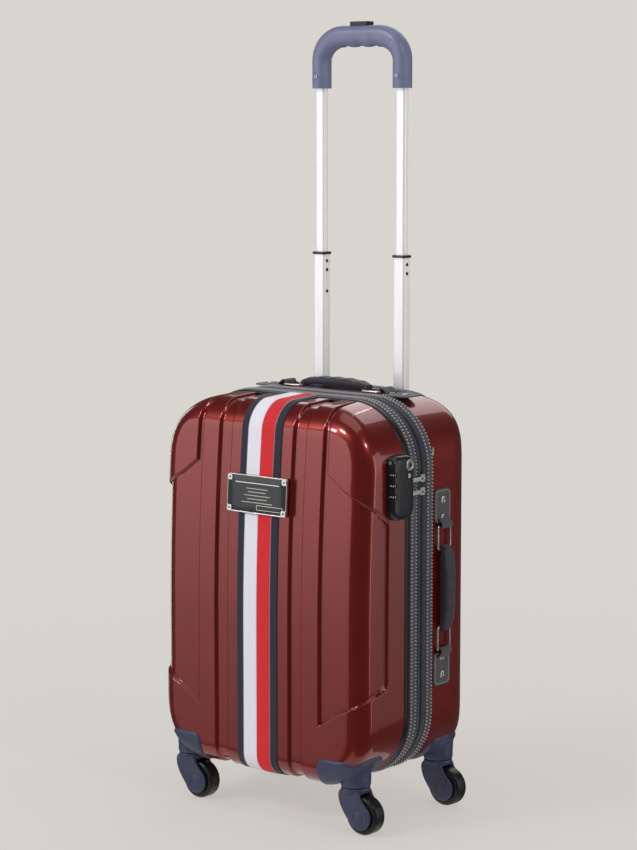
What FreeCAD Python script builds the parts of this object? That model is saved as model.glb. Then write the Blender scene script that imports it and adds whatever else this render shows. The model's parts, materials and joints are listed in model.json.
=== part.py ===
"""A hard shell cabin suitcase that stands on four swivelling wheels, as a parametric FreeCAD document.

+X is the side with the lock, +Y the back with the telescopic handle, +Z up, all in millimetres. While the model
is built, x = 0 is the middle of the case, y = 0 the flat of its front and z = 0 the floor. The files are written
with the origin under the middle of the whole object's bounding box.
"""
import FreeCAD, Part
import math
import os
import re
import Sketcher

SIZES = [
    # Case: the two half shells.
    ("case_width", 350, "across the front"),
    ("case_depth", 240, "front flat to back flat"),
    ("case_bottom", 58, "height of the case's underside above the floor"),
    ("case_height", 492, "the case without its wheels"),
    ("corner_radius", 85, "corners of the front view"),
    ("edge_radius", 38, "edge round the front and the back"),
    ("wall", 3, "shell thickness"),
    ("fit_gap", 0.3, "clearance between a piece and its seat"),
    # Relief pressed into the shells.
    ("relief_depth", 1.8, "how deep the valleys are"),
    ("centre_rib_half", 51, "half width of the raised middle"),
    ("valley_width", 22, "valley beside the middle"),
    ("side_rib_width", 28, "raised rib beside the valley"),
    ("channel_width", 16, "channel beside each top corner panel"),
    ("recess_low", 79, "lower inner corner of a side recess above the case's underside"),
    ("recess_high", 85, "upper inner corner of a side recess below the case's top"),
    ("recess_rise", 41, "how far the lower edge climbs to the side"),
    ("recess_fall", 48, "how far the upper edge drops to the side"),
    ("recess_reach", 53, "how far round the side a recess runs"),
    ("back_relief_margin", 72, "end of the back's valleys from the case's ends"),
    # Zip band between the shells.
    ("zip_line", 120, "the opening plane, from the front"),
    ("rim_setback", 12, "shell rim from the opening plane"),
    ("trim_width", 14, "stitched edge trim"),
    ("trim_overlap", 2, "how far a trim passes its shell's rim"),
    ("trim_proud", 2.2, "trim above the shell"),
    ("tape_thick", 1.6, "zip tape"),
    ("zip_gap", 1.6, "slit between the two tapes"),
    ("hinge_tape_low", 92, "lower end of the fabric hinge above the case's underside"),
    ("hinge_tape_high", 95, "upper end below the case's top"),
    ("hinge_overlap", 6, "fabric hinge past the opening plane"),
    # Lining.
    ("lining_thick", 1, "cloth lining"),
    ("partition_depth", 190, "cloth floor of the rear half, from the front"),
    ("partition_thick", 1.5, ""),
    ("strap_width", 25, "packing strap"),
    ("strap_thick", 1.5, ""),
    ("strap_spread", 115, "packing straps either side of the middle height"),
    ("buckle_width", 44, ""),
    ("buckle_height", 34, ""),
    ("buckle_thick", 5, ""),
    # Webbing stripe and name plate.
    ("stripe_half", 34, "half width of the webbing"),
    ("stripe_thick", 1.2, ""),
    ("ribbon_half", 22, "width of each coloured ribbon"),
    ("ribbon_thick", 0.8, ""),
    ("plate_width", 101, ""),
    ("plate_height", 50, ""),
    ("plate_drop", 122, "plate's middle below the case's top"),
    ("plate_thick", 2.4, ""),
    ("plate_border", 4, "metal frame round the panel"),
    ("plate_rivet_radius", 1.7, ""),
    # Corner guards.
    ("guard_proud", 2.5, "guard thickness over the shell"),
    ("guard_across", 75, "inner edge of a guard from the case's side"),
    ("guard_rise", 37, "upper edge above the case's underside"),
    ("guard_front_reach", 55, "front guard along the side"),
    ("guard_rear_reach", 90, "rear guard along the side"),
    # Casters.
    ("caster_inset", 35, "swivel axes from the case's side"),
    ("caster_front", 30, "front swivel axes from the front"),
    ("caster_rear", 32, "rear swivel axes from the back"),
    ("swivel_rise", 3, "underside of the boss above the case's underside"),
    ("stem_radius", 20, "boss round the swivel"),
    ("boss_sink", 4, "boss below the guard's upper edge"),
    ("pin_radius", 4, "swivel pin"),
    ("pin_length", 9, ""),
    ("wheel_radius", 25, ""),
    ("wheel_width", 20, ""),
    ("wheel_round", 4, "rounding of the tread's edges"),
    ("hub_radius", 15, "hub recess"),
    ("hub_recess", 2, ""),
    ("caster_trail", 16, "wheel axis behind the swivel axis"),
    ("axle_radius", 3, ""),
    ("fork_width", 28, "outside of the cheeks"),
    ("wheel_clearance", 1.2, "between wheel and fork"),
    ("cheek_radius", 17, "lower end of a cheek"),
    ("shoulder_radius", 12, "upper end of a cheek"),
    ("shoulder_lean", 8, "upper end ahead of the swivel axis"),
    ("shoulder_drop", 13, "upper end below the boss"),
    ("fork_plate", 6.2, "round plate on top of the fork"),
    ("plate_inset", 1.5, "plate smaller than the boss"),
    # Lock.
    ("lock_width", 46, "front to back"),
    ("lock_clear", 2, "between the lock and the front trim"),
    ("lock_drop", 62, "lock's top below the case's top"),
    ("lock_height", 83, ""),
    ("lock_proud", 10.5, ""),
    ("lock_round", 9, "rounding of the edge with the dials"),
    ("lock_edge", 4, "rounding of the other edges"),
    ("dial_radius", 4.8, ""),
    ("dial_width", 5, ""),
    ("dial_pitch", 14, ""),
    ("dial_rise", 32, "lowest dial above the lock's lower end"),
    ("dial_proud", 1.2, "dial above the rounded edge"),
    ("dial_rod_radius", 1.2, ""),
    ("key_radius", 4.5, ""),
    ("key_inset", 12, "key cylinder from the lock's back edge"),
    ("key_drop", 13, "below the lock's top"),
    ("key_depth", 8, ""),
    ("key_proud", 0.6, ""),
    ("press_radius", 3, "lock's push button"),
    ("press_inset", 15, "from the lock's back edge"),
    ("press_drop", 26.5, "below the lock's top"),
    ("press_depth", 5, ""),
    ("press_proud", 1.6, ""),
    ("press_travel", 1.5, ""),
    # Zip sliders and their pulls.
    ("upper_slider_rise", 48, "above the lock's lower end"),
    ("lower_slider_rise", 31, ""),
    ("slider_width", 9, ""),
    ("slider_length", 10, ""),
    ("slider_thick", 2.3, ""),
    ("lug_width", 2.4, ""),
    ("pull_pin_radius", 0.8, ""),
    ("pull_eye_radius", 1.3, ""),
    ("pull_offset", 1.5, "pull's pin ahead of the opening plane"),
    ("pull_width", 5.4, ""),
    ("pull_thick", 1.5, ""),
    ("slot_depth", 6, "lock's slots for the pulls"),
    ("clip_drop", 66, "metal clip below the case's top"),
    ("clip_width", 3.5, ""),
    ("clip_height", 10, ""),
    # Carry handles.
    ("handle_depth", 165, "both carry handles from the front"),
    ("tab_end", 130, "outer end of a tab from the handle's middle"),
    ("tab_width", 35, ""),
    ("tab_thick", 2, ""),
    ("tab_round", 7, ""),
    ("ring_outer_rod", 82, "ring's rod in the tab"),
    ("ring_inner_rod", 51.5, "ring's rod in the grip"),
    ("ring_side_rod", 13.2, "ring's long sides from the middle line"),
    ("rod_radius", 1.6, ""),
    ("ring_level", 3.9, "ring above the shell"),
    ("loop_wall", 1.4, ""),
    ("loop_width", 22, ""),
    ("handle_lift", 3, "slack of the rings in the tabs"),
    ("grip_half", 50, "half length of the padded grip"),
    ("grip_width", 22, ""),
    ("grip_thick", 12, ""),
    ("finger_gap", 5.6, "under the grip"),
    ("rivet_radius", 3.6, ""),
    ("rivet_height", 1.6, ""),
    ("rivet_inner", 90.5, ""),
    ("rivet_outer", 115.5, ""),
    # Telescopic handle.
    ("pole_spread", 68, "poles either side of the middle"),
    ("pole_depth", 22, "poles from the back"),
    ("outer_tube_width", 24, ""),
    ("outer_tube_depth", 19, ""),
    ("middle_tube_width", 19, ""),
    ("middle_tube_depth", 14, ""),
    ("inner_tube_width", 15, ""),
    ("inner_tube_depth", 10, ""),
    ("tube_wall", 1, ""),
    ("tube_overlap", 45, "tube left inside the next when drawn out"),
    ("middle_reach", 177, "middle tubes above the case's top when drawn out"),
    ("bushing_height", 9, ""),
    ("bushing_width", 22, ""),
    ("bushing_depth", 17, ""),
    ("foot_rise", 22, "lower end of the outer tubes above the case's underside"),
    ("foot_half", 90, ""),
    ("bezel_half", 120, ""),
    ("bezel_depth", 40, ""),
    ("bezel_proud", 7, ""),
    ("bezel_round", 5, ""),
    ("well_half", 98.5, "well that takes the grip"),
    ("well_depth", 31, ""),
    ("well_sink", 60, "underside of the well below the case's top"),
    ("well_wall", 1.5, ""),
    ("inner_reach", 223, "inner tubes above the middle ones when drawn out"),
    ("hand_grip_height", 83, ""),
    ("hand_grip_leg", 22, ""),
    ("hand_grip_depth", 26, ""),
    ("hand_grip_bar", 28, ""),
    ("hand_grip_shoulder", 45, "outer corners"),
    ("hand_grip_inside", 20, "inner corners"),
    ("hand_grip_edge", 6, ""),
    ("hand_button_half", 16, ""),
    ("hand_button_depth", 14, ""),
    ("hand_button_height", 7, ""),
    ("hand_button_proud", 5, ""),
]

doc = FreeCAD.newDocument("suitcase")
sheet = doc.addObject("Spreadsheet::Sheet", "Sizes")
for row, (alias, value, note) in enumerate(SIZES, start=1):
    sheet.set(f"A{row}", alias)
    sheet.set(f"B{row}", str(value))
    sheet.set(f"C{row}", note)
    sheet.setAlias(f"B{row}", alias)
doc.recompute()

ALIASES = {alias for alias, _, _ in SIZES}
ORIGIN = FreeCAD.Vector(0, 0, 0)
TURN_X = FreeCAD.Rotation(FreeCAD.Vector(0, 1, 0), 90)
TURN_Y = FreeCAD.Rotation(FreeCAD.Vector(1, 0, 0), -90)
BIG = "case_width"
nodes = []


# ---------------------------------------------------------------- helpers

def formula(text):
    """The expression with every size's name pointing at the sheet."""
    return re.sub(r"[a-z_]+", lambda word: f"Sizes.{word[0]}" if word[0] in ALIASES else word[0], str(text))


def size(name):
    """The value in the sheet's cell of that name."""
    return float(sheet.get(name))


def bind(thing, **expressions):
    """Bind the thing's properties, with __ for the dot, to expressions of the sizes."""
    for name, text in expressions.items():
        thing.setExpression(name.replace("__", "."), formula(text))
    return thing


def place(thing, x="0", y="0", z="0", turn=None):
    """Put the thing at a point worked out from the sizes, turned first if asked."""
    if turn is not None:
        thing.Placement = FreeCAD.Placement(ORIGIN, turn)
    return bind(thing, Placement__Base__x=x, Placement__Base__y=y, Placement__Base__z=z)


def block(name, low, high):
    """A box between two corners."""
    spans = [f"({top}) - ({bottom})" for bottom, top in zip(low, high)]
    solid = bind(doc.addObject("Part::Box", name), Length=spans[0], Width=spans[1], Height=spans[2])
    return place(solid, *low)


def rod(name, start, length, radius, turn=None):
    """A cylinder from its start point, along Z or turned along X or Y."""
    solid = bind(doc.addObject("Part::Cylinder", name), Radius=radius, Height=length)
    return place(solid, *start, turn=turn)


def fuse(name, *things):
    """The union of the things."""
    union = doc.addObject("Part::MultiFuse", name)
    union.Shapes = list(things)
    return union


def group(name, *things):
    """Separate solids of one kind, as one object."""
    together = doc.addObject("Part::Compound", name)
    together.Links = list(things)
    return together


def cut(name, base, *tools):
    """The base without its tools."""
    rest = doc.addObject("Part::Cut", name)
    rest.Base = base
    rest.Tool = tools[0] if len(tools) == 1 else fuse(name + "_tools", *tools)
    return rest


def common(name, first, second):
    """What two things share."""
    shared = doc.addObject("Part::MultiCommon", name)
    shared.Shapes = [first, second]
    return shared


def mirrored(name, source):
    """The source reflected in the middle plane x = 0."""
    copy = doc.addObject("Part::Mirroring", name)
    copy.Source = source
    copy.Normal = FreeCAD.Vector(1, 0, 0)
    return copy


def node(label, thing):
    """Keep the thing as a sub-part with this name."""
    thing.Label = label
    nodes.append(thing)
    return thing


def along(axis):
    """Test for edges that run along an axis, 0, 1 or 2."""
    def test(edge, box):
        ends = edge.BoundBox
        spans = (ends.XLength, ends.YLength, ends.ZLength)
        return spans[axis] > 0.01 and max(spans[:axis] + spans[axis + 1:]) < 0.01
    return test


def on_face(axis, high):
    """Test for edges that lie in the box's low or high face across an axis."""
    def test(edge, box):
        ends = edge.BoundBox
        low_end = (ends.XMin, ends.YMin, ends.ZMin)[axis]
        high_end = (ends.XMax, ends.YMax, ends.ZMax)[axis]
        level = ((box.XMax, box.YMax, box.ZMax) if high else (box.XMin, box.YMin, box.ZMin))[axis]
        return abs(low_end - level) < 0.01 and abs(high_end - level) < 0.01
    return test


def rounded(name, low, high, *rounds):
    """A body: a box between two corners, with groups of its edges rounded in turn.

    Each round is a radius and the tests of which an edge has to meet at least one.
    """
    body = doc.addObject("PartDesign::Body", name)
    spans = [f"({top}) - ({bottom})" for bottom, top in zip(low, high)]
    tip = body.newObject("PartDesign::AdditiveBox", name + "_block")
    bind(tip, Length=spans[0], Width=spans[1], Height=spans[2])
    doc.recompute()
    for number, (radius, *tests) in enumerate(rounds):
        limits = tip.Shape.BoundBox
        chosen = [
            f"Edge{index}"
            for index, edge in enumerate(tip.Shape.Edges, start=1)
            if any(test(edge, limits) for test in tests)
        ]
        fillet = body.newObject("PartDesign::Fillet", f"{name}_round{number}")
        fillet.Base = (tip, chosen)
        bind(fillet, Radius=radius)
        doc.recompute()
        tip = fillet
    return place(body, *low)


def origin_plane(body, role):
    """The body's own origin plane with that role."""
    return next(plane for plane in body.Origin.OriginFeatures if plane.Role == role)


def prism(name, points, low, high):
    """A body: a polygon of (x, z) points, carried along Y from low to high."""
    body = doc.addObject("PartDesign::Body", name)
    sketch = body.newObject("Sketcher::SketchObject", name + "_sketch")
    sketch.AttachmentSupport = [(origin_plane(body, "XZ_Plane"), "")]
    sketch.MapMode = "FlatFace"
    count = len(points)
    corners = [tuple(float(sheet_value(text)) for text in point) for point in points]
    for index, corner in enumerate(corners):
        start = FreeCAD.Vector(*corner, 0)
        end = FreeCAD.Vector(*corners[(index + 1) % count], 0)
        sketch.addGeometry(Part.LineSegment(start, end))
    for index in range(count):
        sketch.addConstraint(Sketcher.Constraint("Coincident", index, 2, (index + 1) % count, 1))
    for index, point in enumerate(points):
        for kind, text, value in zip(("DistanceX", "DistanceY"), point, corners[index]):
            number = sketch.addConstraint(Sketcher.Constraint(kind, -1, 1, index, 1, value))
            sketch.setExpression(f"Constraints[{number}]", formula(text))
    pad = body.newObject("PartDesign::Pad", name + "_pad")
    pad.Profile = sketch
    pad.Reversed = True
    bind(pad, Length=f"({high}) - ({low})")
    return place(body, y=low)


def sheet_value(text):
    """The number that an expression of the sizes gives, for a sketch's first drawing."""
    probe = bind(sheet_probe, Radius=f"abs({text}) + 1")
    probe.recompute()
    sign = bind(sheet_probe, Height=f"({text}) < 0 ? 2 : 1")
    sign.recompute()
    value = probe.Radius.Value - 1
    return -value if sign.Height.Value > 1.5 else value


sheet_probe = doc.addObject("Part::Cylinder", "sheet_probe")


# ---------------------------------------------------------------- case

CASE_TOP = "case_bottom + case_height"
SIDE = "case_width / 2"
FRONT_RIM = "zip_line - rim_setback"
REAR_RIM = "zip_line + rim_setback"
RECESS_BOTTOM = "case_bottom + recess_low"
RECESS_TOP = f"{CASE_TOP} - recess_high"


def case_solid(name, offset):
    """The case's outer form, grown or shrunk by an offset."""
    low = (f"-({SIDE}) - ({offset})", f"-({offset})", f"case_bottom - ({offset})")
    high = (f"{SIDE} + ({offset})", f"case_depth + ({offset})", f"{CASE_TOP} + ({offset})")
    return rounded(
        name, low, high,
        (f"corner_radius + ({offset})", along(1)),
        (f"edge_radius + ({offset})", on_face(1, False), on_face(1, True)),
    )


def band(name, outside, inside, low, high):
    """A closed band round the case between two offsets and two depths."""
    def slice_of(part, offset):
        corner = (f"-({SIDE}) - ({offset})", low, f"case_bottom - ({offset})")
        other = (f"{SIDE} + ({offset})", high, f"{CASE_TOP} + ({offset})")
        return rounded(f"{name}_{part}", corner, other, (f"corner_radius + ({offset})", along(1)))
    return cut(name, slice_of("outside", outside), slice_of("inside", inside))


def slab(name, low, high):
    """Everything between two depths, wide enough to take the whole case."""
    return block(name, (f"-{BIG}", low, "-10"), (BIG, high, f"{CASE_TOP} + 50"))


outer = case_solid("case_outer", "0")
inner = case_solid("case_inner", "-wall")
floor = case_solid("relief_floor", "-relief_depth")
skin = cut("shell_skin", outer, inner)

VALLEY = ("centre_rib_half", "centre_rib_half + valley_width")
RIB_END = "centre_rib_half + valley_width + side_rib_width"


def front_relief():
    """Valleys, top channels and side recesses of the front, as one tool."""
    above = f"{CASE_TOP} + 20"
    right = [
        block("valley", (VALLEY[0], "-20", "0"), (VALLEY[1], f"{FRONT_RIM} - trim_width", above)),
        block("channel", (RIB_END, "-20", f"{RECESS_TOP} - channel_width"),
              (f"{RIB_END} + channel_width", f"{FRONT_RIM} - trim_width", above)),
        prism(
            "recess",
            [(RIB_END, RECESS_BOTTOM), (f"{SIDE} + 5", f"{RECESS_BOTTOM} + recess_rise"),
             (f"{SIDE} + 5", f"{RECESS_TOP} - recess_fall"), (RIB_END, RECESS_TOP)],
            "-5", "recess_reach",
        ),
    ]
    pieces = right + [mirrored(piece.Name + "_left", piece) for piece in right]
    return cut("front_relief", fuse("front_zones", *pieces), floor)


def back_relief():
    """The two upright valleys of the back."""
    lower = "case_bottom + back_relief_margin"
    upper = f"{CASE_TOP} - back_relief_margin"
    zone = block(
        "back_valley", (VALLEY[0], "case_depth - edge_radius", lower),
        (VALLEY[1], "case_depth + 5", upper),
    )
    return cut("back_relief", fuse("back_zones", zone, mirrored("back_valley_left", zone)), floor)


def shells():
    """The front and rear shells."""
    front_half = common("front_half", skin, slab("front_space", "-50", FRONT_RIM))
    node("front_shell", cut("front_shell_cut", front_half, front_relief()))
    rear_half = common("rear_half", skin, slab("rear_space", REAR_RIM, "case_depth + 50"))
    mouth = block("well_mouth", well_corner("-", "well_wall + fit_gap", f"{WELL_FLOOR} - 5"),
                  well_corner("+", "well_wall + fit_gap", f"{CASE_TOP} + 20"))
    node("rear_shell", cut("rear_shell_cut", rear_half, back_relief(), mouth))


def well_corner(sign, margin, level):
    """Corner of a box round the grip's well, that much outside the well."""
    return (f"{sign}(well_half + {margin})", f"{POLE_LINE} {sign} (well_depth / 2 + {margin})", level)


def zip_band():
    """Edge trims, zip tapes and the fabric hinge."""
    front_edge = f"{FRONT_RIM} + trim_overlap"
    rear_edge = f"{REAR_RIM} - trim_overlap"
    node("front_edge_trim", band("front_trim", "trim_proud", "0", f"{front_edge} - trim_width", front_edge))
    node("rear_edge_trim", band("rear_trim", "trim_proud", "0", rear_edge, f"{rear_edge} + trim_width"))
    node("front_zip_tape", band("front_tape", "0", "-tape_thick", FRONT_RIM, "zip_line - zip_gap / 2"))
    node("rear_zip_tape", band("rear_tape", "0", "-tape_thick", "zip_line + zip_gap / 2", REAR_RIM))
    inside = "wall + fit_gap"
    node("hinge_tape", block(
        "fabric_hinge", (f"-({SIDE}) + {inside}", "zip_line - hinge_overlap", "case_bottom + hinge_tape_low"),
        (f"-({SIDE}) + {inside} + lining_thick", f"{REAR_RIM} + trim_overlap",
         f"{CASE_TOP} - hinge_tape_high")))


def linings():
    """Cloth linings, the packing straps and their buckle."""
    cloth = case_solid("lining_outside", "-(wall + fit_gap)")
    room = case_solid("lining_inside", "-(wall + fit_gap + lining_thick)")
    front_cloth = common(
        "front_cloth", cloth, slab("front_cloth_space", "-50", f"{FRONT_RIM} - trim_overlap"),
    )
    node("front_lining", cut("front_lining_cut", front_cloth, room))
    rear_start = f"{REAR_RIM} + trim_overlap"
    rear_cloth = common("rear_cloth", cloth,
                        slab("rear_cloth_space", rear_start, "partition_depth + partition_thick"))
    rear_room = common("rear_room", room, slab("rear_room_space", f"{rear_start} - 5", "partition_depth"))
    node("rear_lining", cut("rear_lining_cut", rear_cloth, rear_room))
    middle = "case_bottom + case_height / 2"
    reach = "case_width / 2 - wall - lining_thick - 2"
    back = "partition_depth - fit_gap"
    straps = [
        block(f"strap_{name}", (f"-({reach})", f"{back} - strap_thick", f"{middle} {sign} strap_spread - strap_width / 2"),
              (reach, back, f"{middle} {sign} strap_spread + strap_width / 2"))
        for name, sign in (("upper", "+"), ("lower", "-"))
    ]
    node("packing_straps", group("strap_pair", *straps))
    buckles = [
        rounded(f"buckle_{name}",
                ("-buckle_width / 2", f"{back} - strap_thick - fit_gap - buckle_thick",
                 f"{middle} {sign} strap_spread - buckle_height / 2"),
                ("buckle_width / 2", f"{back} - strap_thick - fit_gap",
                 f"{middle} {sign} strap_spread + buckle_height / 2"),
                ("buckle_thick", along(1)))
        for name, sign in (("upper", "+"), ("lower", "-"))
    ]
    node("strap_buckles", group("buckle_pair", *buckles))


def stripe():
    """Webbing from edge trim to edge trim over top, front and bottom, with two coloured ribbons."""
    edge = f"{FRONT_RIM} + trim_overlap - trim_width"
    base_form = case_solid("webbing_form", "stripe_thick")
    ribbon_form = case_solid("ribbon_form", "stripe_thick + ribbon_thick")

    def strip(name, form, under, low, high):
        span = block(name + "_span", (low, "-50", "0"), (high, f"{edge} - fit_gap", f"{CASE_TOP} + 50"))
        return cut(name, common(name + "_form", form, span), under)

    node("stripe_webbing", strip("webbing", base_form, outer, "-stripe_half", "stripe_half"))
    node("stripe_white_ribbon", strip("white_ribbon", ribbon_form, base_form, "-ribbon_half", "0"))
    node("stripe_red_ribbon", strip("red_ribbon", ribbon_form, base_form, "0", "ribbon_half"))


PLATE_LEVEL = f"{CASE_TOP} - plate_drop"


def plate():
    """The framed plate over the stripe: frame, panel and four rivets."""
    back = "-(stripe_thick + ribbon_thick + fit_gap)"
    face = f"{back} - plate_thick"
    half = ("plate_width / 2", "plate_height / 2")
    whole = rounded("plate_outline", (f"-{half[0]}", face, f"{PLATE_LEVEL} - {half[1]}"),
                    (half[0], "0", f"{PLATE_LEVEL} + {half[1]}"), ("plate_border", along(1)))
    window = block("plate_window", (f"-({half[0]} - plate_border)", "-20", f"{PLATE_LEVEL} - ({half[1]} - plate_border)"),
                   (f"{half[0]} - plate_border", "5", f"{PLATE_LEVEL} + {half[1]} - plate_border"))
    tunnel = block("plate_tunnel", ("-(stripe_half + 2)", back, f"{PLATE_LEVEL} - plate_height"),
                   ("stripe_half + 2", "5", f"{PLATE_LEVEL} + plate_height"))
    holes = [
        rod(f"plate_hole_{number}", (f"{sx} ({half[0]} - plate_border / 2)", "-10",
                                     f"{PLATE_LEVEL} {sz} ({half[1]} - plate_border / 2)"),
            "12", "0.8", TURN_Y)
        for number, (sx, sz) in enumerate((a, b) for a in "+-" for b in "+-")
    ]
    node("plate_frame", cut("plate_frame_cut", whole, window, tunnel, *holes))
    node("plate_panel", block(
        "plate_sheet", (f"-({half[0]} - plate_border)", f"{back} - plate_thick / 2", f"{PLATE_LEVEL} - ({half[1]} - plate_border)"),
        (f"{half[0]} - plate_border", back, f"{PLATE_LEVEL} + {half[1]} - plate_border")))
    rivets = [
        rod(f"plate_rivet_{number}", (f"{sx} ({half[0]} - plate_border / 2)", f"{face} - 0.8",
                                      f"{PLATE_LEVEL} {sz} ({half[1]} - plate_border / 2)"),
            "0.8", "plate_rivet_radius", TURN_Y)
        for number, (sx, sz) in enumerate((a, b) for a in "+-" for b in "+-")
    ]
    node("plate_rivets", group("plate_rivet_set", *rivets))


# ---------------------------------------------------------------- guards and casters

CASTER_X = f"({SIDE} - caster_inset)"
BOSS_LEVEL = "case_bottom + swivel_rise"
SHOULDER_LEVEL = f"{BOSS_LEVEL} - shoulder_drop"
guard_form = case_solid("guard_form", "guard_proud")


def guard(label, front, left):
    """A corner housing that wraps the shell and carries the boss of a caster."""
    depth_span = ("-20", "guard_front_reach") if front else (
        "case_depth - guard_rear_reach", "case_depth + 20",
    )
    axis_depth = "caster_front" if front else "case_depth - caster_rear"
    zone = block(label + "_zone", (f"{SIDE} - guard_across", depth_span[0], "0"),
                 ("case_width", depth_span[1], "case_bottom + guard_rise"))
    cover = common(label + "_cover", guard_form, zone)
    boss = rod(label + "_boss", (CASTER_X, axis_depth, BOSS_LEVEL),
               "guard_rise - swivel_rise - boss_sink", "stem_radius")
    bore = rod(label + "_bore", (CASTER_X, axis_depth, f"{BOSS_LEVEL} - 1"),
               "pin_length + 2", "pin_radius + fit_gap")
    housing = cut(label + "_housing", fuse(label + "_body", cover, boss), outer, bore)
    if left:
        housing = mirrored(label + "_mirror", housing)
    node(label + "_guard", housing)


def cheeks(name):
    """The fork's slanted outline: two discs and the tangents between them, across the fork's width."""
    body = doc.addObject("PartDesign::Body", name)
    sketch = body.newObject("Sketcher::SketchObject", name + "_sketch")
    sketch.AttachmentSupport = [(origin_plane(body, "XZ_Plane"), "")]
    sketch.MapMode = "FlatFace"
    top = FreeCAD.Vector(0, sheet_value(SHOULDER_LEVEL), 0)
    bottom = FreeCAD.Vector(size("shoulder_lean") + size("caster_trail"), size("wheel_radius"), 0)
    radii = (size("shoulder_radius"), size("cheek_radius"))
    run = bottom - top
    slope = math.atan2(run.y, run.x)
    swing = math.acos((radii[0] - radii[1]) / run.Length)
    angles = (slope + swing, slope - swing)

    def touch(centre, radius, angle):
        return centre + FreeCAD.Vector(math.cos(angle), math.sin(angle), 0) * radius

    normal = FreeCAD.Vector(0, 0, 1)
    sketch.addGeometry([
        Part.ArcOfCircle(Part.Circle(top, normal, radii[0]), angles[0], angles[1] + 2 * math.pi),
        Part.LineSegment(touch(top, radii[0], angles[1]), touch(bottom, radii[1], angles[1])),
        Part.ArcOfCircle(Part.Circle(bottom, normal, radii[1]), angles[1], angles[0]),
        Part.LineSegment(touch(bottom, radii[1], angles[0]), touch(top, radii[0], angles[0])),
    ])
    sketch.addConstraint([
        Sketcher.Constraint("Tangent", 0, 2, 1, 1),
        Sketcher.Constraint("Tangent", 1, 2, 2, 1),
        Sketcher.Constraint("Tangent", 2, 2, 3, 1),
        Sketcher.Constraint("Tangent", 3, 2, 0, 1),
        Sketcher.Constraint("PointOnObject", 0, 3, -2),
    ])
    bound = [
        (Sketcher.Constraint("Radius", 0, radii[0]), "shoulder_radius"),
        (Sketcher.Constraint("Radius", 2, radii[1]), "cheek_radius"),
        (Sketcher.Constraint("DistanceY", -1, 1, 0, 3, top.y), SHOULDER_LEVEL),
        (Sketcher.Constraint("DistanceX", -1, 1, 2, 3, bottom.x), "shoulder_lean + caster_trail"),
        (Sketcher.Constraint("DistanceY", -1, 1, 2, 3, bottom.y), "wheel_radius"),
    ]
    for constraint, text in bound:
        sketch.setExpression(f"Constraints[{sketch.addConstraint(constraint)}]", formula(text))
    pad = body.newObject("PartDesign::Pad", name + "_pad")
    pad.Profile = sketch
    pad.Midplane = True
    bind(pad, Length="fork_width")
    return place(body, x="-shoulder_lean")


def caster(label, x, y):
    """Fork with its swivel pin, axle and wheel, trailing towards +X."""
    outline = cheeks(label + "_cheeks")
    top = f"{BOSS_LEVEL} - fit_gap"
    plate_disc = rod(
        label + "_plate", ("0", "0", f"{top} - fork_plate"), "fork_plate", "stem_radius - plate_inset",
    )
    pin = rod(label + "_pin", ("0", "0", f"{top} - 1"), "pin_length + 1", "pin_radius")
    tyre_room = rod(label + "_tyre_room", ("caster_trail", "-(wheel_width / 2 + wheel_clearance)", "wheel_radius"),
                    "wheel_width + 2 * wheel_clearance", "wheel_radius + wheel_clearance", TURN_Y)
    axle_hole = rod(label + "_axle_hole", ("caster_trail", "-fork_width", "wheel_radius"),
                    "fork_width * 2", "axle_radius", TURN_Y)
    fork = cut(
        label + "_fork_cut", fuse(label + "_fork_body", outline, plate_disc, pin), tyre_room,
        axle_hole,
    )
    node(label + "_fork", place(fork, x, y))
    axle = rod(label + "_axle_rod", ("0", "0", "0"), "fork_width", "axle_radius", TURN_Y)
    node(label + "_axle", place(axle, f"{x} + caster_trail", f"{y} - fork_width / 2", "wheel_radius", TURN_Y))
    disc = doc.addObject("Part::Cylinder", label + "_tyre")
    bind(disc, Radius="wheel_radius", Height="wheel_width")
    doc.recompute()
    rounds = doc.addObject("Part::Fillet", label + "_tread")
    rounds.Base = disc
    circles = [index for index, edge in enumerate(disc.Shape.Edges, start=1) if edge.Closed and len(edge.Vertexes) == 1]
    rounds.Edges = [(index, size("wheel_round"), size("wheel_round")) for index in circles]
    hubs = [
        rod(label + "_hub_low", ("0", "0", "-1"), "hub_recess + 1", "hub_radius"),
        rod(label + "_hub_high", ("0", "0", "wheel_width - hub_recess"), "hub_recess + 1", "hub_radius"),
        rod(label + "_wheel_bore", ("0", "0", "-1"), "wheel_width + 2", "axle_radius + fit_gap"),
    ]
    wheel = cut(label + "_wheel_cut", rounds, *hubs)
    node(
        label + "_wheel",
        place(wheel, f"{x} + caster_trail", f"{y} - wheel_width / 2", "wheel_radius", TURN_Y),
    )


def running_gear():
    """Four guards and four casters."""
    for end, depth in (("front", "caster_front"), ("rear", "case_depth - caster_rear")):
        for hand, sign in (("left", "-"), ("right", "")):
            guard(f"{end}_{hand}", end == "front", hand == "left")
            caster(f"{end}_{hand}", f"{sign}{CASTER_X}", depth)


# ---------------------------------------------------------------- lock and zip sliders

LOCK_TOP = f"{CASE_TOP} - lock_drop"
LOCK_BOTTOM = f"{LOCK_TOP} - lock_height"
LOCK_BACK = f"{FRONT_RIM} + trim_overlap - trim_width - lock_clear"
LOCK_FRONT = f"{LOCK_BACK} - lock_width"
DIAL_LEVEL = f"{LOCK_BOTTOM} + dial_rise"
KEY_Y = f"{LOCK_BACK} - key_inset"
KEY_LEVEL = f"{LOCK_TOP} - key_drop"
PRESS_Y = f"{LOCK_BACK} - press_inset"
PRESS_LEVEL = f"{LOCK_TOP} - press_drop"
DIAL_OFFSET = "(lock_round + dial_proud - dial_radius) / sqrt(2)"
DIAL_X = f"{SIDE} + lock_proud - lock_round + {DIAL_OFFSET}"
DIAL_Y = f"{LOCK_FRONT} + lock_round - {DIAL_OFFSET}"
PULL_X = f"{SIDE} + fit_gap + slider_thick + fit_gap + pull_eye_radius"
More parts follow.
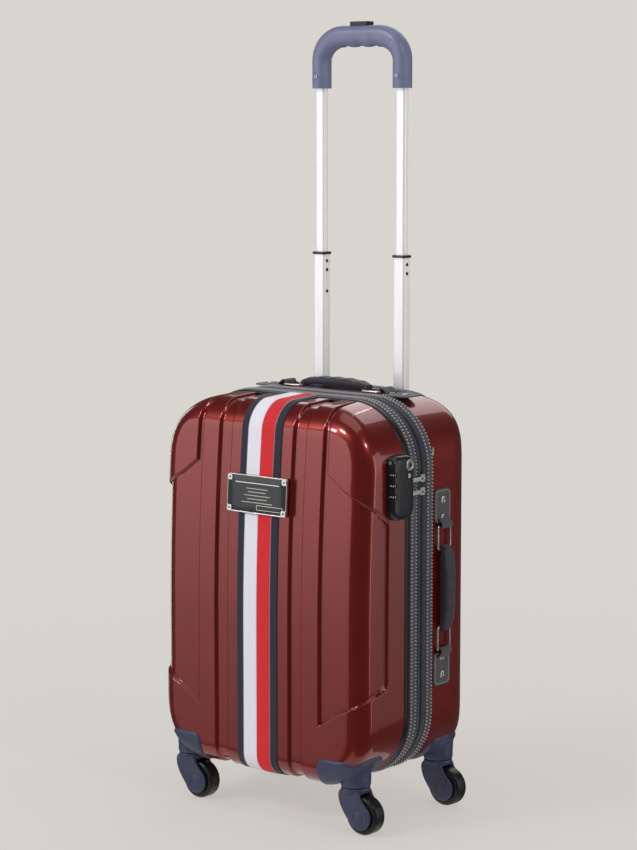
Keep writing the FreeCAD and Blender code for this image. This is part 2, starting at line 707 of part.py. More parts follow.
PULL_Y = "zip_line - pull_offset"
LOCK_FACE = f"{SIDE} + lock_proud"
SLIDERS = (("upper", f"{LOCK_BOTTOM} + upper_slider_rise"), ("lower", f"{LOCK_BOTTOM} + lower_slider_rise"))


def is_dial_edge(edge, box):
    """The upright edge of the lock's block that faces front and outwards."""
    ends = edge.BoundBox
    return abs(ends.XMin - box.XMax) < 0.01 and abs(ends.YMax - box.YMin) < 0.01


def is_outer_edge(edge, box):
    """The other edges of the lock's outer face."""
    return on_face(0, True)(edge, box) and edge.BoundBox.YMax > box.YMin + size("lock_round") + 1


def lock():
    """Lock case with dials, key cylinder and push button."""
    form = rounded("lock_form", (f"{SIDE} - 15", LOCK_FRONT, LOCK_BOTTOM), (LOCK_FACE, LOCK_BACK, LOCK_TOP),
                   ("lock_round", is_dial_edge), ("lock_edge", is_outer_edge))
    rooms = []
    for number in range(3):
        level = f"{DIAL_LEVEL} + {number} * dial_pitch"
        rooms.append(rod(f"dial_room_{number}", (DIAL_X, DIAL_Y, f"{level} - dial_width / 2 - fit_gap"),
                         "dial_width + 2 * fit_gap", "dial_radius + fit_gap"))
        dial = rod(f"dial_disc_{number}", ("0", "0", "0"), "dial_width", "dial_radius")
        eye = rod(f"dial_eye_{number}", ("0", "0", "-1"), "dial_width + 2", "dial_rod_radius + fit_gap")
        ring = cut(f"dial_ring_{number}", dial, eye)
        node(f"lock_dial_{number + 1}", place(ring, DIAL_X, DIAL_Y, f"{level} - dial_width / 2"))
    key_start = f"{LOCK_FACE} - key_depth"
    rooms.append(rod("key_room", (key_start, KEY_Y, KEY_LEVEL), "key_depth + 5", "key_radius + fit_gap", TURN_X))
    press_start = f"{LOCK_FACE} - press_depth"
    rooms.append(rod("press_room", (f"{press_start} - press_travel - fit_gap", PRESS_Y, PRESS_LEVEL),
                     "press_depth + 8", "press_radius + fit_gap", TURN_X))
    for name, level in SLIDERS:
        rooms.append(block(f"{name}_slot",
                           (
                               f"{PULL_X} - pull_thick / 2 - fit_gap", f"{LOCK_BACK} - slot_depth",
                               f"{level} - pull_width / 2 - fit_gap",
                           ),
                           (f"{PULL_X} + pull_thick / 2 + fit_gap", f"{LOCK_BACK} + 5", f"{level} + pull_width / 2 + fit_gap")))
    dial_rod = rod(
        "dial_rod", (DIAL_X, DIAL_Y, f"{DIAL_LEVEL} - dial_width"), "2 * dial_pitch + 2 * dial_width",
        "dial_rod_radius",
    )
    hollow = cut("lock_hollow", form, outer, *rooms)
    node("lock_case", fuse("lock_with_rod", hollow, dial_rod))
    barrel = rod("key_barrel", (f"{key_start} + fit_gap", KEY_Y, KEY_LEVEL), "key_depth - fit_gap + key_proud",
                 "key_radius", TURN_X)
    keyhole = block("keyhole", (f"{LOCK_FACE} - 2", f"{KEY_Y} - 0.7", f"{KEY_LEVEL} - 2.5"),
                    (f"{LOCK_FACE} + 5", f"{KEY_Y} + 0.7", f"{KEY_LEVEL} + 2.5"))
    node("key_cylinder", cut("key_cylinder_cut", barrel, keyhole))
    node("lock_button", rod("lock_press", (press_start, PRESS_Y, PRESS_LEVEL), "press_depth + press_proud",
                            "press_radius", TURN_X))


def zip_sliders():
    """Two sliders with their pulls, and the small metal clip on the rear shell."""
    for name, level in SLIDERS:
        seat = f"{SIDE} + fit_gap"
        body = rounded(f"{name}_slider_body", (seat, "zip_line - slider_width / 2", f"{level} - slider_length / 2"),
                       (
                           f"{seat} + slider_thick", "zip_line + slider_width / 2",
                           f"{level} + slider_length / 2",
                       ),
                       ("2", along(0)))
        neck = block(f"{name}_slider_neck", (f"{SIDE} - tape_thick - 1.5", "zip_line - zip_gap / 2 + fit_gap", f"{level} - 3"),
                     (f"{seat} + 1", "zip_line + zip_gap / 2 - fit_gap", f"{level} + 3"))
        lug = block(f"{name}_slider_lug", (f"{seat} + slider_thick - 0.5", f"{PULL_Y} - 2", f"{level} - lug_width / 2"),
                    (f"{PULL_X} + 2.2", f"{PULL_Y} + 2", f"{level} + lug_width / 2"))
        eye = rod(f"{name}_lug_eye", (PULL_X, PULL_Y, f"{level} - 5"), "10", "pull_pin_radius + fit_gap")
        node(f"zip_slider_{name}", cut(f"{name}_slider_cut", fuse(f"{name}_slider", body, neck, lug), eye))
        pin = rod(
            f"{name}_pull_pin", (PULL_X, PULL_Y, f"{level} - pull_width / 2"), "pull_width",
            "pull_pin_radius",
        )
        head = rod(
            f"{name}_pull_head", (PULL_X, PULL_Y, f"{level} - pull_width / 2"), "pull_width",
            "pull_eye_radius",
        )
        bar = block(f"{name}_pull_bar", (f"{PULL_X} - pull_thick / 2", f"{LOCK_BACK} + 2 * fit_gap", f"{level} - pull_width / 2"),
                    (f"{PULL_X} + pull_thick / 2", PULL_Y, f"{level} + pull_width / 2"))
        gap = block(f"{name}_pull_gap", (f"{PULL_X} - 5", f"{PULL_Y} - 3.5", f"{level} - lug_width / 2 - fit_gap"),
                    (f"{PULL_X} + 5", f"{PULL_Y} + 5", f"{level} + lug_width / 2 + fit_gap"))
        blank = cut(f"{name}_pull_blank", fuse(f"{name}_pull_body", head, bar), gap)
        node(f"zip_pull_{name}", fuse(f"{name}_pull", blank, pin))
    clip_low = f"{REAR_RIM} - trim_overlap + trim_width + fit_gap"
    tag = rounded("clip_form", (f"{SIDE} - 12", clip_low, f"{CASE_TOP} - clip_drop - clip_height / 2"),
                  (SIDE, f"{clip_low} + clip_width", f"{CASE_TOP} - clip_drop + clip_height / 2"), ("1", on_face(0, True)))
    node("zip_keeper_clip", cut("clip_cut", tag, outer))


# ---------------------------------------------------------------- carry handles

def carry_handle(label, x, y, z, turn):
    """Tabs, rivets, rings and padded grip, built along X over the origin and then placed."""
    top_level = "ring_level + rod_radius + handle_lift + fit_gap"
    tabs, rivets, rings = [], [], []
    for hand, sign in (("left", "-"), ("right", "")):
        def ends(near, far):
            return (f"{sign}({near})", f"{sign}({far})") if not sign else (f"-({far})", f"-({near})")

        loop_near = "ring_outer_rod - rod_radius - fit_gap - loop_wall"
        loop_far = "ring_outer_rod + rod_radius + fit_gap + loop_wall"
        low, high = ends(loop_near, "tab_end")
        strap = rounded(f"{label}_{hand}_strap", (low, "-tab_width / 2", "0"), (high, "tab_width / 2", "tab_thick"),
                        ("tab_round", along(2)))
        low, high = ends(loop_near, loop_far)
        loop = block(f"{label}_{hand}_loop", (low, "-loop_width / 2", "0"),
                     (high, "loop_width / 2", f"{top_level} + loop_wall"))
        low, high = ends("ring_outer_rod - rod_radius - fit_gap", "ring_outer_rod + rod_radius + fit_gap")
        slot = block(f"{label}_{hand}_slot", (low, "-tab_width", "tab_thick"), (high, "tab_width", top_level))
        tabs.append(cut(f"{label}_{hand}_tab", fuse(f"{label}_{hand}_tab_body", strap, loop), slot))
        for name, reach in (("inner", "rivet_inner"), ("outer", "rivet_outer")):
            rivets.append(rod(f"{label}_{hand}_{name}_rivet", (f"{sign}({reach})", "0", "tab_thick"),
                              "rivet_height", "rivet_radius"))
        low, high = ends("ring_inner_rod - rod_radius", "ring_outer_rod + rod_radius")
        rim = rounded(f"{label}_{hand}_rim", (low, "-(ring_side_rod + rod_radius)", "ring_level - rod_radius"),
                      (high, "ring_side_rod + rod_radius", "ring_level + rod_radius"), ("4", along(2)))
        low, high = ends("ring_inner_rod + rod_radius", "ring_outer_rod - rod_radius")
        eye = rounded(f"{label}_{hand}_eye", (low, "-(ring_side_rod - rod_radius)", "ring_level - 5"),
                      (high, "ring_side_rod - rod_radius", "ring_level + 5"), ("1.5", along(2)))
        rings.append(cut(f"{label}_{hand}_ring", rim, eye))
    pad = rounded(f"{label}_pad", ("-grip_half", "-grip_width / 2", "finger_gap"),
                  ("grip_half", "grip_width / 2", "finger_gap + grip_thick"), ("5", along(0)), ("2", on_face(0, True), on_face(0, False)))
    lugs, holes = [], []
    for hand, sign in (("left", "-"), ("right", "+")):
        middle = f"{sign}ring_inner_rod"
        lugs.append(block(f"{label}_{hand}_lug", (f"{middle} - 5", "-(grip_width / 2 - 0.6)", "ring_level - 3"),
                          (f"{middle} + 5", "grip_width / 2 - 0.6", "finger_gap + 6")))
        holes.append(block(f"{label}_{hand}_hole",
                           (f"{middle} - rod_radius - 0.1", "-grip_width", "ring_level - rod_radius - 0.1"),
                           (f"{middle} + rod_radius + 0.1", "grip_width", "ring_level + rod_radius + 0.1")))
    grip = cut(f"{label}_grip_cut", fuse(f"{label}_grip_body", pad, *lugs), *holes)
    for part, thing in (("tabs", group(f"{label}_tab_pair", *tabs)), ("rivets", group(f"{label}_rivet_set", *rivets)),
                        ("rings", group(f"{label}_ring_pair", *rings)), ("grip", grip)):
        node(f"{label}_{part}", place(thing, x, y, z, turn))


# ---------------------------------------------------------------- telescopic handle

POLE_LINE = "case_depth - pole_depth"
WELL_FLOOR = f"{CASE_TOP} - well_sink"
FOOT_LEVEL = "case_bottom + foot_rise"
RING_SEAT = f"{CASE_TOP} + middle_reach"
GRIP_LEVEL = f"{RING_SEAT} + inner_reach"


def pole_pair(name, width, depth, low, high):
    """Two hollow tubes, one either side of the middle."""
    tubes = []
    for hand, sign in (("left", "-"), ("right", "+")):
        middle = f"{sign}pole_spread"
        solid = rounded(f"{name}_{hand}_outside", (f"{middle} - {width} / 2", f"{POLE_LINE} - {depth} / 2", low),
                        (f"{middle} + {width} / 2", f"{POLE_LINE} + {depth} / 2", high), ("3", along(2)))
        hollow = rounded(f"{name}_{hand}_inside",
                         (
                             f"{middle} - {width} / 2 + tube_wall",
                             f"{POLE_LINE} - {depth} / 2 + tube_wall", f"{low} - 1",
                         ),
                         (
                             f"{middle} + {width} / 2 - tube_wall",
                             f"{POLE_LINE} + {depth} / 2 - tube_wall", f"{high} + 1",
                         ),
                         ("2", along(2)))
        tubes.append(cut(f"{name}_{hand}", solid, hollow))
    return group(name, *tubes)


def pole_holes(name, width, depth, low, high):
    """Two square-cornered holes for tubes of that size, with their clearance."""
    return [
        block(f"{name}_{hand}", (f"{sign}pole_spread - {width} / 2 - fit_gap", f"{POLE_LINE} - {depth} / 2 - fit_gap", low),
              (f"{sign}pole_spread + {width} / 2 + fit_gap", f"{POLE_LINE} + {depth} / 2 + fit_gap", high))
        for hand, sign in (("left", "-"), ("right", "+"))
    ]


def telescope():
    """Foot bracket, three pairs of tubes, bushings, well with its bezel, grip and release button."""
    seat = case_solid("bracket_seat", "-(wall + fit_gap)")
    lump = block("bracket_lump", ("-foot_half", "partition_depth + partition_thick + 14", "case_bottom"),
                 ("foot_half", "case_depth - 10", FOOT_LEVEL))
    node("trolley_foot_bracket", common("bracket_form", lump, seat))
    node("trolley_outer_tubes", pole_pair("outer_tubes", "outer_tube_width", "outer_tube_depth",
                                          FOOT_LEVEL, WELL_FLOOR))
    node("trolley_middle_tubes", pole_pair("middle_tubes", "middle_tube_width", "middle_tube_depth",
                                           f"{WELL_FLOOR} - tube_overlap", RING_SEAT))
    node("trolley_inner_tubes", pole_pair("inner_tubes", "inner_tube_width", "inner_tube_depth",
                                          f"{RING_SEAT} - tube_overlap", GRIP_LEVEL))
    sleeves = [
        rounded(f"bushing_{hand}", (f"{sign}pole_spread - bushing_width / 2", f"{POLE_LINE} - bushing_depth / 2", RING_SEAT),
                (
                    f"{sign}pole_spread + bushing_width / 2", f"{POLE_LINE} + bushing_depth / 2",
                    f"{RING_SEAT} + bushing_height",
                ),
                ("3.5", along(2)))
        for hand, sign in (("left", "-"), ("right", "+"))
    ]
    passages = pole_holes("bushing_hole", "inner_tube_width", "inner_tube_depth", f"{RING_SEAT} - 5",
                          f"{RING_SEAT} + bushing_height + 5")
    node("trolley_bushings", group("bushing_pair", *[
        cut(f"bushing_ring_{number}", sleeve, hole)
        for number, (sleeve, hole) in enumerate(zip(sleeves, passages))
    ]))
    top = f"{CASE_TOP} + bezel_proud"
    frame = rounded("bezel_frame", ("-bezel_half", f"{POLE_LINE} - bezel_depth / 2 - 6", f"{CASE_TOP} - 20"),
                    ("bezel_half", f"{POLE_LINE} + bezel_depth / 2 - 6", top), ("8", along(2)), ("bezel_round", on_face(2, True)))
    tub = block(
        "well_tub", well_corner("-", "well_wall", WELL_FLOOR),
        well_corner("+", "well_wall", f"{CASE_TOP} - 12"),
    )
    room = block(
        "well_room", well_corner("-", "0", f"{WELL_FLOOR} + well_wall"),
        well_corner("+", "0", f"{top} + 5"),
    )
    tube_holes = pole_holes(
        "well_hole", "middle_tube_width", "middle_tube_depth", f"{WELL_FLOOR} - 5",
        f"{WELL_FLOOR} + 10",
    )
    saddle = cut("bezel_saddle", frame, outer)
    lip = common("well_lip", block("well_lip_block", well_corner("-", "well_wall", f"{CASE_TOP} - 13"),
                                   well_corner("+", "well_wall", f"{top} - bezel_round")),
                 case_solid("lip_limit", "bezel_proud"))
    node("trolley_bezel", cut("bezel_cut", fuse("bezel_body", saddle, tub, lip), room, *tube_holes))
    grip_line = (GRIP_LEVEL, f"{GRIP_LEVEL} + hand_grip_height")
    half = "pole_spread + hand_grip_leg / 2"
    block_form = rounded("hand_grip_form", (f"-({half})", f"{POLE_LINE} - hand_grip_depth / 2", grip_line[0]),
                         (half, f"{POLE_LINE} + hand_grip_depth / 2", grip_line[1]),
                         ("hand_grip_shoulder", is_top_edge), ("hand_grip_edge", on_face(1, True), on_face(1, False)))
    hand_room = rounded("hand_room", (f"-({half} - hand_grip_leg)", f"{POLE_LINE} - 30", f"{GRIP_LEVEL} - 60"),
                        (f"{half} - hand_grip_leg", f"{POLE_LINE} + 30", f"{grip_line[1]} - hand_grip_bar"),
                        ("hand_grip_inside", is_top_edge))
    pocket = block("button_pocket",
                   ("-(hand_button_half + fit_gap)", f"{POLE_LINE} - hand_button_depth / 2 - fit_gap",
                    f"{grip_line[1]} + hand_button_proud - hand_button_height - hand_button_height"),
                   ("hand_button_half + fit_gap", f"{POLE_LINE} + hand_button_depth / 2 + fit_gap", f"{grip_line[1]} + 5"))
    node("trolley_grip", cut("hand_grip_cut", block_form, hand_room, pocket))
    node("trolley_grip_button", rounded(
        "hand_button",
        (
            "-hand_button_half", f"{POLE_LINE} - hand_button_depth / 2",
            f"{grip_line[1]} + hand_button_proud - hand_button_height",
        ),
        ("hand_button_half", f"{POLE_LINE} + hand_button_depth / 2", f"{grip_line[1]} + hand_button_proud"),
        ("3", along(2)), ("1.5", on_face(2, True))))


def is_top_edge(edge, box):
    """An upper edge that runs from front to back."""
    return along(1)(edge, box) and edge.BoundBox.ZMin > box.ZMax - 0.01


# ---------------------------------------------------------------- whole object

def build():
    """Make every sub-part."""
    shells()
    zip_band()
    linings()
    stripe()
    plate()
    running_gear()
    lock()
    zip_sliders()
    carry_handle("top_handle", "0", "handle_depth", CASE_TOP, FreeCAD.Rotation())
    carry_handle("side_handle", SIDE, "handle_depth", "case_bottom + case_height / 2", TURN_X)
    telescope()
    doc.recompute()


def check():
    """Stop if any object failed or any sub-part is not a valid solid."""
    failed = [thing.Name for thing in doc.Objects if {"Invalid", "Error"} & set(thing.State)]
    for thing in nodes:
        if thing.Shape.isNull() or not thing.Shape.isValid() or not thing.Shape.Solids:
            failed.append(thing.Label)
    if failed:
        raise RuntimeError("failed: " + ", ".join(sorted(set(failed))))


def export():
    """Write each sub-part with the origin under the middle of the whole object."""
    whole = FreeCAD.BoundBox()
    for thing in nodes:
        whole.add(thing.Shape.optimalBoundingBox(False, False))
    shift = FreeCAD.Vector(-whole.Center.x, -whole.Center.y, -whole.ZMin)
    os.makedirs("parts", exist_ok=True)
    for thing in nodes:
        shape = thing.Shape.copy()
        shape.translate(shift)
        shape.exportStep(f"parts/{thing.Label}.step")
    print(f"{len(nodes)} sub-parts, shift {shift.x:.4f} {shift.y:.4f} {shift.z:.4f}")


build()
check()
export()
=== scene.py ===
import json
import logging
import math
from dataclasses import dataclass
from enum import Enum
from typing import Callable, Dict, List, Optional, Sequence, Tuple

import bmesh
import bpy
import numpy as np
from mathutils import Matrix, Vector

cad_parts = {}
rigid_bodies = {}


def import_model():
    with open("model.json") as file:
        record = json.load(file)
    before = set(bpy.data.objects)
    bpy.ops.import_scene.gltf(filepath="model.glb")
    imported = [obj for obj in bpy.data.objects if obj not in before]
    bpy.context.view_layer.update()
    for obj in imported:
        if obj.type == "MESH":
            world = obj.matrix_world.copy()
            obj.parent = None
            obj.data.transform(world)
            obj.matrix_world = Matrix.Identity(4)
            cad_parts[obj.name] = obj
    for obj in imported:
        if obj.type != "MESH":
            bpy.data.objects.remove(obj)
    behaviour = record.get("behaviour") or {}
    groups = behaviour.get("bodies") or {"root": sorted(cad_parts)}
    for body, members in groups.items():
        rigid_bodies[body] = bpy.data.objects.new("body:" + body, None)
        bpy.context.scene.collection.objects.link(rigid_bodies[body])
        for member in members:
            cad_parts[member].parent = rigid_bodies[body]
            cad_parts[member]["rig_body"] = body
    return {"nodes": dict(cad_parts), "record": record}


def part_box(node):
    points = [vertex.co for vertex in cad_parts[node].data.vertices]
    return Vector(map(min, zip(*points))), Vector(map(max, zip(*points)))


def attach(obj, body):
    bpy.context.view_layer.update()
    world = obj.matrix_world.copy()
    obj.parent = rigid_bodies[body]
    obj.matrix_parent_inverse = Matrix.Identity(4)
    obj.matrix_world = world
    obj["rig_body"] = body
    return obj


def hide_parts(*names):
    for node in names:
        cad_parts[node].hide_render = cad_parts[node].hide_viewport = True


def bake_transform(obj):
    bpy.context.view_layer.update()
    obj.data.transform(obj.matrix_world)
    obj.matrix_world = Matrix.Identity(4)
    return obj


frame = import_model()
LOG = logging.getLogger("suitcase")
MM = 0.001
BACK = 240.0
FLOOR_TO_MIDDLE = 304.0
X, Y, Z = (1, 0, 0), (0, 1, 0), (0, 0, 1)
Placer = Callable[[np.ndarray, np.ndarray, np.ndarray], np.ndarray]

# -------------- nodes and colours


def linear(code: str, strength: float = 1.0) -> Tuple[float, float, float, float]:
    """Turns an sRGB hex colour to the linear values that a shader takes.

    Args:
        code: the colour as "#rrggbb".
        strength: a factor on all three channels.

    Returns:
        Linear red, green, blue and 1.
    """
    shown = (int(code[place:place + 2], 16) / 255 for place in (1, 3, 5))
    red, green, blue = (strength * (v / 12.92 if v <= 0.04045 else ((v + 0.055) / 1.055) ** 2.4) for v in shown)
    return red, green, blue, 1.0


def add_node(tree: bpy.types.NodeTree, kind: str, settings: Optional[dict] = None,
             links: Optional[dict] = None) -> bpy.types.Node:
    """Adds one node with its settings and its links.

    Args:
        tree: the node tree it goes in.
        kind: the node's Blender type.
        settings: values by property name, or by input name or number.
        links: output sockets by input name or number.

    Returns:
        The node.
    """
    made = tree.nodes.new(kind)
    for key, value in (settings or {}).items():
        if isinstance(key, str) and hasattr(made, key):
            setattr(made, key, value)
        else:
            made.inputs[key].default_value = value
    for key, socket in (links or {}).items():
        tree.links.new(socket, made.inputs[key])
    return made


def blank(name: str) -> Tuple[bpy.types.Material, bpy.types.NodeTree]:
    """Makes an empty material.

    Args:
        name: the material's name.

    Returns:
        The material and its tree.
    """
    material = bpy.data.materials.new(name)
    material.use_nodes = True
    material.node_tree.nodes.clear()
    return material, material.node_tree


def shaded(tree: bpy.types.NodeTree, settings: dict, links: dict) -> None:
    """Adds the Principled shader and wires it to the material's output.

    Args:
        tree: the node tree.
        settings: the shader's values by input name.
        links: output sockets by the shader's input name.
    """
    shader = add_node(tree, "ShaderNodeBsdfPrincipled", settings, links)
    add_node(tree, "ShaderNodeOutputMaterial", {}, {"Surface": shader.outputs[0]})


def noise(tree: bpy.types.NodeTree, size: float, detail: float = 2.0, drawn: float = 1.0) -> bpy.types.NodeSocket:
    """Adds a cloudy pattern in the piece's own place.

    Args:
        tree: the node tree.
        size: the width of one cloud in millimetres.
        detail: how many finer layers lie over it.
        drawn: how many times taller than wide a cloud is.

    Returns:
        The pattern's value socket.
    """
    place = add_node(tree, "ShaderNodeTexCoord")
    scaled = add_node(tree, "ShaderNodeMapping", {"Scale": (1.0, 1.0, 1 / drawn)}, {0: place.outputs["Object"]})
    cloud = add_node(tree, "ShaderNodeTexNoise", {"Scale": 1 / (size * MM), "Detail": detail},
                     {"Vector": scaled.outputs[0]})
    return cloud.outputs["Fac"]


def ramp(tree: bpy.types.NodeTree, value: bpy.types.NodeSocket, low: float, high: float,
         start: float, end: float) -> bpy.types.NodeSocket:
    """Carries a value from one range to another, and holds it at both ends.

    Args:
        tree: the node tree.
        value: what is carried.
        low: where the old range starts.
        high: where the old range ends.
        start: where the new range starts.
        end: where the new range ends.

    Returns:
        The new value's socket.
    """
    carried = add_node(tree, "ShaderNodeMapRange", {1: low, 2: high, 3: start, 4: end}, {0: value})
    return carried.outputs[0]


def tinted(tree: bpy.types.NodeTree, value: bpy.types.NodeSocket, first: str, second: str) -> bpy.types.NodeSocket:
    """Mixes two colours by a value from 0 to 1.

    Args:
        tree: the node tree.
        value: the share of the second colour.
        first: the colour at 0.
        second: the colour at 1.

    Returns:
        The colour's socket.
    """
    mix = add_node(tree, "ShaderNodeMix", {"data_type": "RGBA", 6: linear(first), 7: linear(second)}, {0: value})
    return mix.outputs[2]


def raised(tree: bpy.types.NodeTree, height: bpy.types.NodeSocket, depth: float,
           share: float = 1.0) -> bpy.types.NodeSocket:
    """Turns a height into a bump.

    Args:
        tree: the node tree.
        height: the height's socket, from 0 to 1.
        depth: the bump's full depth in millimetres.
        share: how much of it shows.

    Returns:
        The normal's socket.
    """
    bump = add_node(tree, "ShaderNodeBump", {"Distance": depth * MM, "Strength": share}, {"Height": height})
    return bump.outputs[0]


def threads(tree: bpy.types.NodeTree, across: float, along: float, slant: float = 0.0) -> bpy.types.NodeSocket:
    """Adds a weave on the piece's own surface, worked out as sin(u) times sin(v).

    Args:
        tree: the node tree.
        across: the spacing of the threads across the cloth in millimetres.
        along: their spacing along it in millimetres.
        slant: how far a thread leans, in turns of the first pattern for each turn of the second.

    Returns:
        The weave's height, from 0 to 1.
    """
    place = add_node(tree, "ShaderNodeTexCoord")
    parts = add_node(tree, "ShaderNodeSeparateXYZ", {}, {0: place.outputs["UV"]})
    turns_u, turns_v = (add_node(tree, "ShaderNodeMath", {"operation": "MULTIPLY", 1: math.tau / (gap * MM)},
                                 {0: parts.outputs[k]}).outputs[0] for k, gap in enumerate((across, along)))
    lean = add_node(tree, "ShaderNodeMath", {"operation": "MULTIPLY_ADD", 1: slant}, {0: turns_v, 2: turns_u})
    wave_u, wave_v = (add_node(tree, "ShaderNodeMath", {"operation": "SINE"}, {0: turns}).outputs[0]
                      for turns in (lean.outputs[0], turns_v))
    cross = add_node(tree, "ShaderNodeMath", {"operation": "MULTIPLY"}, {0: wave_u, 1: wave_v})
    return ramp(tree, cross.outputs[0], -1, 1, 0, 1)


# -------------- finishes


@dataclass(frozen=True)
class MouldedPolycarbonate:
    """Vacuum-formed polycarbonate sheet: a deep red with fine metal flake in it, under a clear gloss top film."""

    name: str = "moulded_polycarbonate_red"
    deep: str = "#7e1812"
    light: str = "#881e18"
    roughness: float = 0.3
    film: float = 0.03
    peel: float = 9.0
    flake: float = 0.6

    def build(self) -> bpy.types.Material:
        """Builds the material.

        Returns:
            The material.
        """
        material, tree = blank(self.name)
        gloss = ramp(tree, noise(tree, self.flake, 1), 0.3, 0.7, self.roughness - 0.05, self.roughness + 0.07)
        shaded(tree, {"Coat Weight": 1.0, "Coat Roughness": self.film, "IOR": 1.585, "Metallic": 0.62},
               {"Roughness": gloss, "Base Color": tinted(tree, noise(tree, 60, 1), self.deep, self.light),
                "Coat Normal": raised(tree, noise(tree, self.peel, 1), 0.03, 0.35)})
        return material


@dataclass(frozen=True)
class MouldedPlastic:
    """Injection-moulded nylon or ABS with a spark-eroded grain, a little paler where the grain stands up."""

    name: str
    dark: str
    pale: str
    roughness: float = 0.42
    grain: float = 0.9
    depth: float = 0.05
    coat: float = 0.0

    def build(self) -> bpy.types.Material:
        """Builds the material.

        Returns:
            The material.
        """
        material, tree = blank(self.name)
        grain = noise(tree, self.grain, 3)
        shaded(tree, {"IOR": 1.53, "Coat Weight": self.coat, "Coat Roughness": 0.12},
               {"Base Color": tinted(tree, noise(tree, 18, 2), self.dark, self.pale),
                "Roughness": ramp(tree, grain, 0.3, 0.7, self.roughness - 0.06, self.roughness + 0.08),
                "Normal": raised(tree, grain, self.depth, 0.5)})
        return material


@dataclass(frozen=True)
class PlatedMetal:
    """Nickel-plated zinc or steel, polished, with fine wear streaks in the gloss."""

    name: str
    colour: str = "#e9e6df"
    roughness: float = 0.24
    streak: float = 2.5

    def build(self) -> bpy.types.Material:
        """Builds the material.

        Returns:
            The material.
        """
        material, tree = blank(self.name)
        wear = noise(tree, self.streak, 4)
        shaded(tree, {"Metallic": 1.0, "Base Color": linear(self.colour)},
               {"Roughness": ramp(tree, wear, 0.35, 0.7, self.roughness, self.roughness + 0.16),
                "Normal": raised(tree, wear, 0.02, 0.25)})
        return material


@dataclass(frozen=True)
class AnodisedTube:
    """Drawn aluminium tube, brushed along its length and clear anodised: fine upright lines in a pale satin."""

    name: str = "anodised_aluminium"
    colour: str = "#fdfcff"
    roughness: float = 0.28

    def build(self) -> bpy.types.Material:
        """Builds the material.

        Returns:
            The material.
        """
        material, tree = blank(self.name)
        lines = noise(tree, 0.8, 2, 100)
        shaded(tree, {"Metallic": 0.35, "Base Color": linear(self.colour)},
               {"Roughness": ramp(tree, lines, 0.3, 0.7, self.roughness - 0.05, self.roughness + 0.12),
                "Normal": raised(tree, lines, 0.02, 0.3)})
        return material


@dataclass(frozen=True)
class GrainedLeather:
    """Split leather with a pressed pebble grain: dark, softly shiny on the pebbles and matt between them."""

    name: str
    dark: str = "#26262c"
    pale: str = "#3a3a42"
    pebble: float = 1.3
    roughness: float = 0.5
    depth: float = 0.16

    def build(self) -> bpy.types.Material:
        """Builds the material.

        Returns:
            The material.
        """
        material, tree = blank(self.name)
        place = add_node(tree, "ShaderNodeTexCoord")
        cells = add_node(tree, "ShaderNodeTexVoronoi", {"Scale": 1 / (self.pebble * MM), "feature": "SMOOTH_F1"},
                         {"Vector": place.outputs["Object"]})
        pebbles = ramp(tree, cells.outputs["Distance"], 0.1, 0.7, 1, 0)
        shaded(tree, {"Sheen Weight": 0.15},
               {"Base Color": tinted(tree, ramp(tree, pebbles, 0, 1, 0.1, 0.9), self.dark, self.pale),
                "Roughness": ramp(tree, pebbles, 0, 1, self.roughness + 0.2, self.roughness),
                "Normal": raised(tree, pebbles, self.depth, 0.6)})
        return material


@dataclass(frozen=True)
class WovenCloth:
    """Woven polyester: rows of threads over and under, paler on the crowns, with a soft sheen at a low angle."""

    name: str
    dark: str
    pale: str
    across: float
    along: float
    slant: float = 0.0
    depth: float = 0.25
    roughness: float = 0.75
    sheen: float = 0.25

    def build(self) -> bpy.types.Material:
        """Builds the material.

        Returns:
            The material.
        """
        material, tree = blank(self.name)
        weave = threads(tree, self.across, self.along, self.slant)
        shaded(tree, {"Roughness": self.roughness, "Sheen Weight": self.sheen},
               {"Base Color": tinted(tree, weave, self.dark, self.pale),
                "Normal": raised(tree, weave, self.depth, 0.7)})
        return material


@dataclass(frozen=True)
class TyreRubber:
    """Cast polyurethane tyre, near black, faintly scuffed where it rolls."""

    name: str = "cast_polyurethane_tyre"
    dark: str = "#101012"
    pale: str = "#26261f"

    def build(self) -> bpy.types.Material:
        """Builds the material.

        Returns:
            The material.
        """
        material, tree = blank(self.name)
        scuff = noise(tree, 3.5, 5)
        shaded(tree, {}, {"Base Color": tinted(tree, ramp(tree, scuff, 0.45, 0.7, 0, 1), self.dark, self.pale),
                          "Roughness": ramp(tree, scuff, 0.4, 0.7, 0.3, 0.5),
                          "Normal": raised(tree, scuff, 0.05, 0.4)})
        return material


@dataclass(frozen=True)
class StudioPaper:
    """Matt seamless paper that the case stands on. Away from the case it fades into the evenly lit backdrop."""

    name: str = "matt_studio_paper"
    colour: str = "#d8d5cf"
    bright: float = 0.95

    def build(self) -> bpy.types.Material:
        """Builds the material.

        Returns:
            The material.
        """
        material, tree = blank(self.name)
        paper = add_node(tree, "ShaderNodeBsdfPrincipled", {
            "Base Color": linear(self.colour, self.bright), "Roughness": 0.95, "Specular IOR Level": 0.0})
        place = add_node(tree, "ShaderNodeTexCoord")
        away = add_node(tree, "ShaderNodeVectorMath", {"operation": "LENGTH"}, {0: place.outputs["Object"]})
        glow = add_node(tree, "ShaderNodeEmission", {0: linear(self.colour), 1: 1.0})
        both = add_node(tree, "ShaderNodeMixShader", {}, {0: ramp(tree, away.outputs["Value"], 0.2, 1.8, 0.69, 1),
                                                          1: paper.outputs[0], 2: glow.outputs[0]})
        add_node(tree, "ShaderNodeOutputMaterial", {}, {"Surface": both.outputs[0]})
        return material


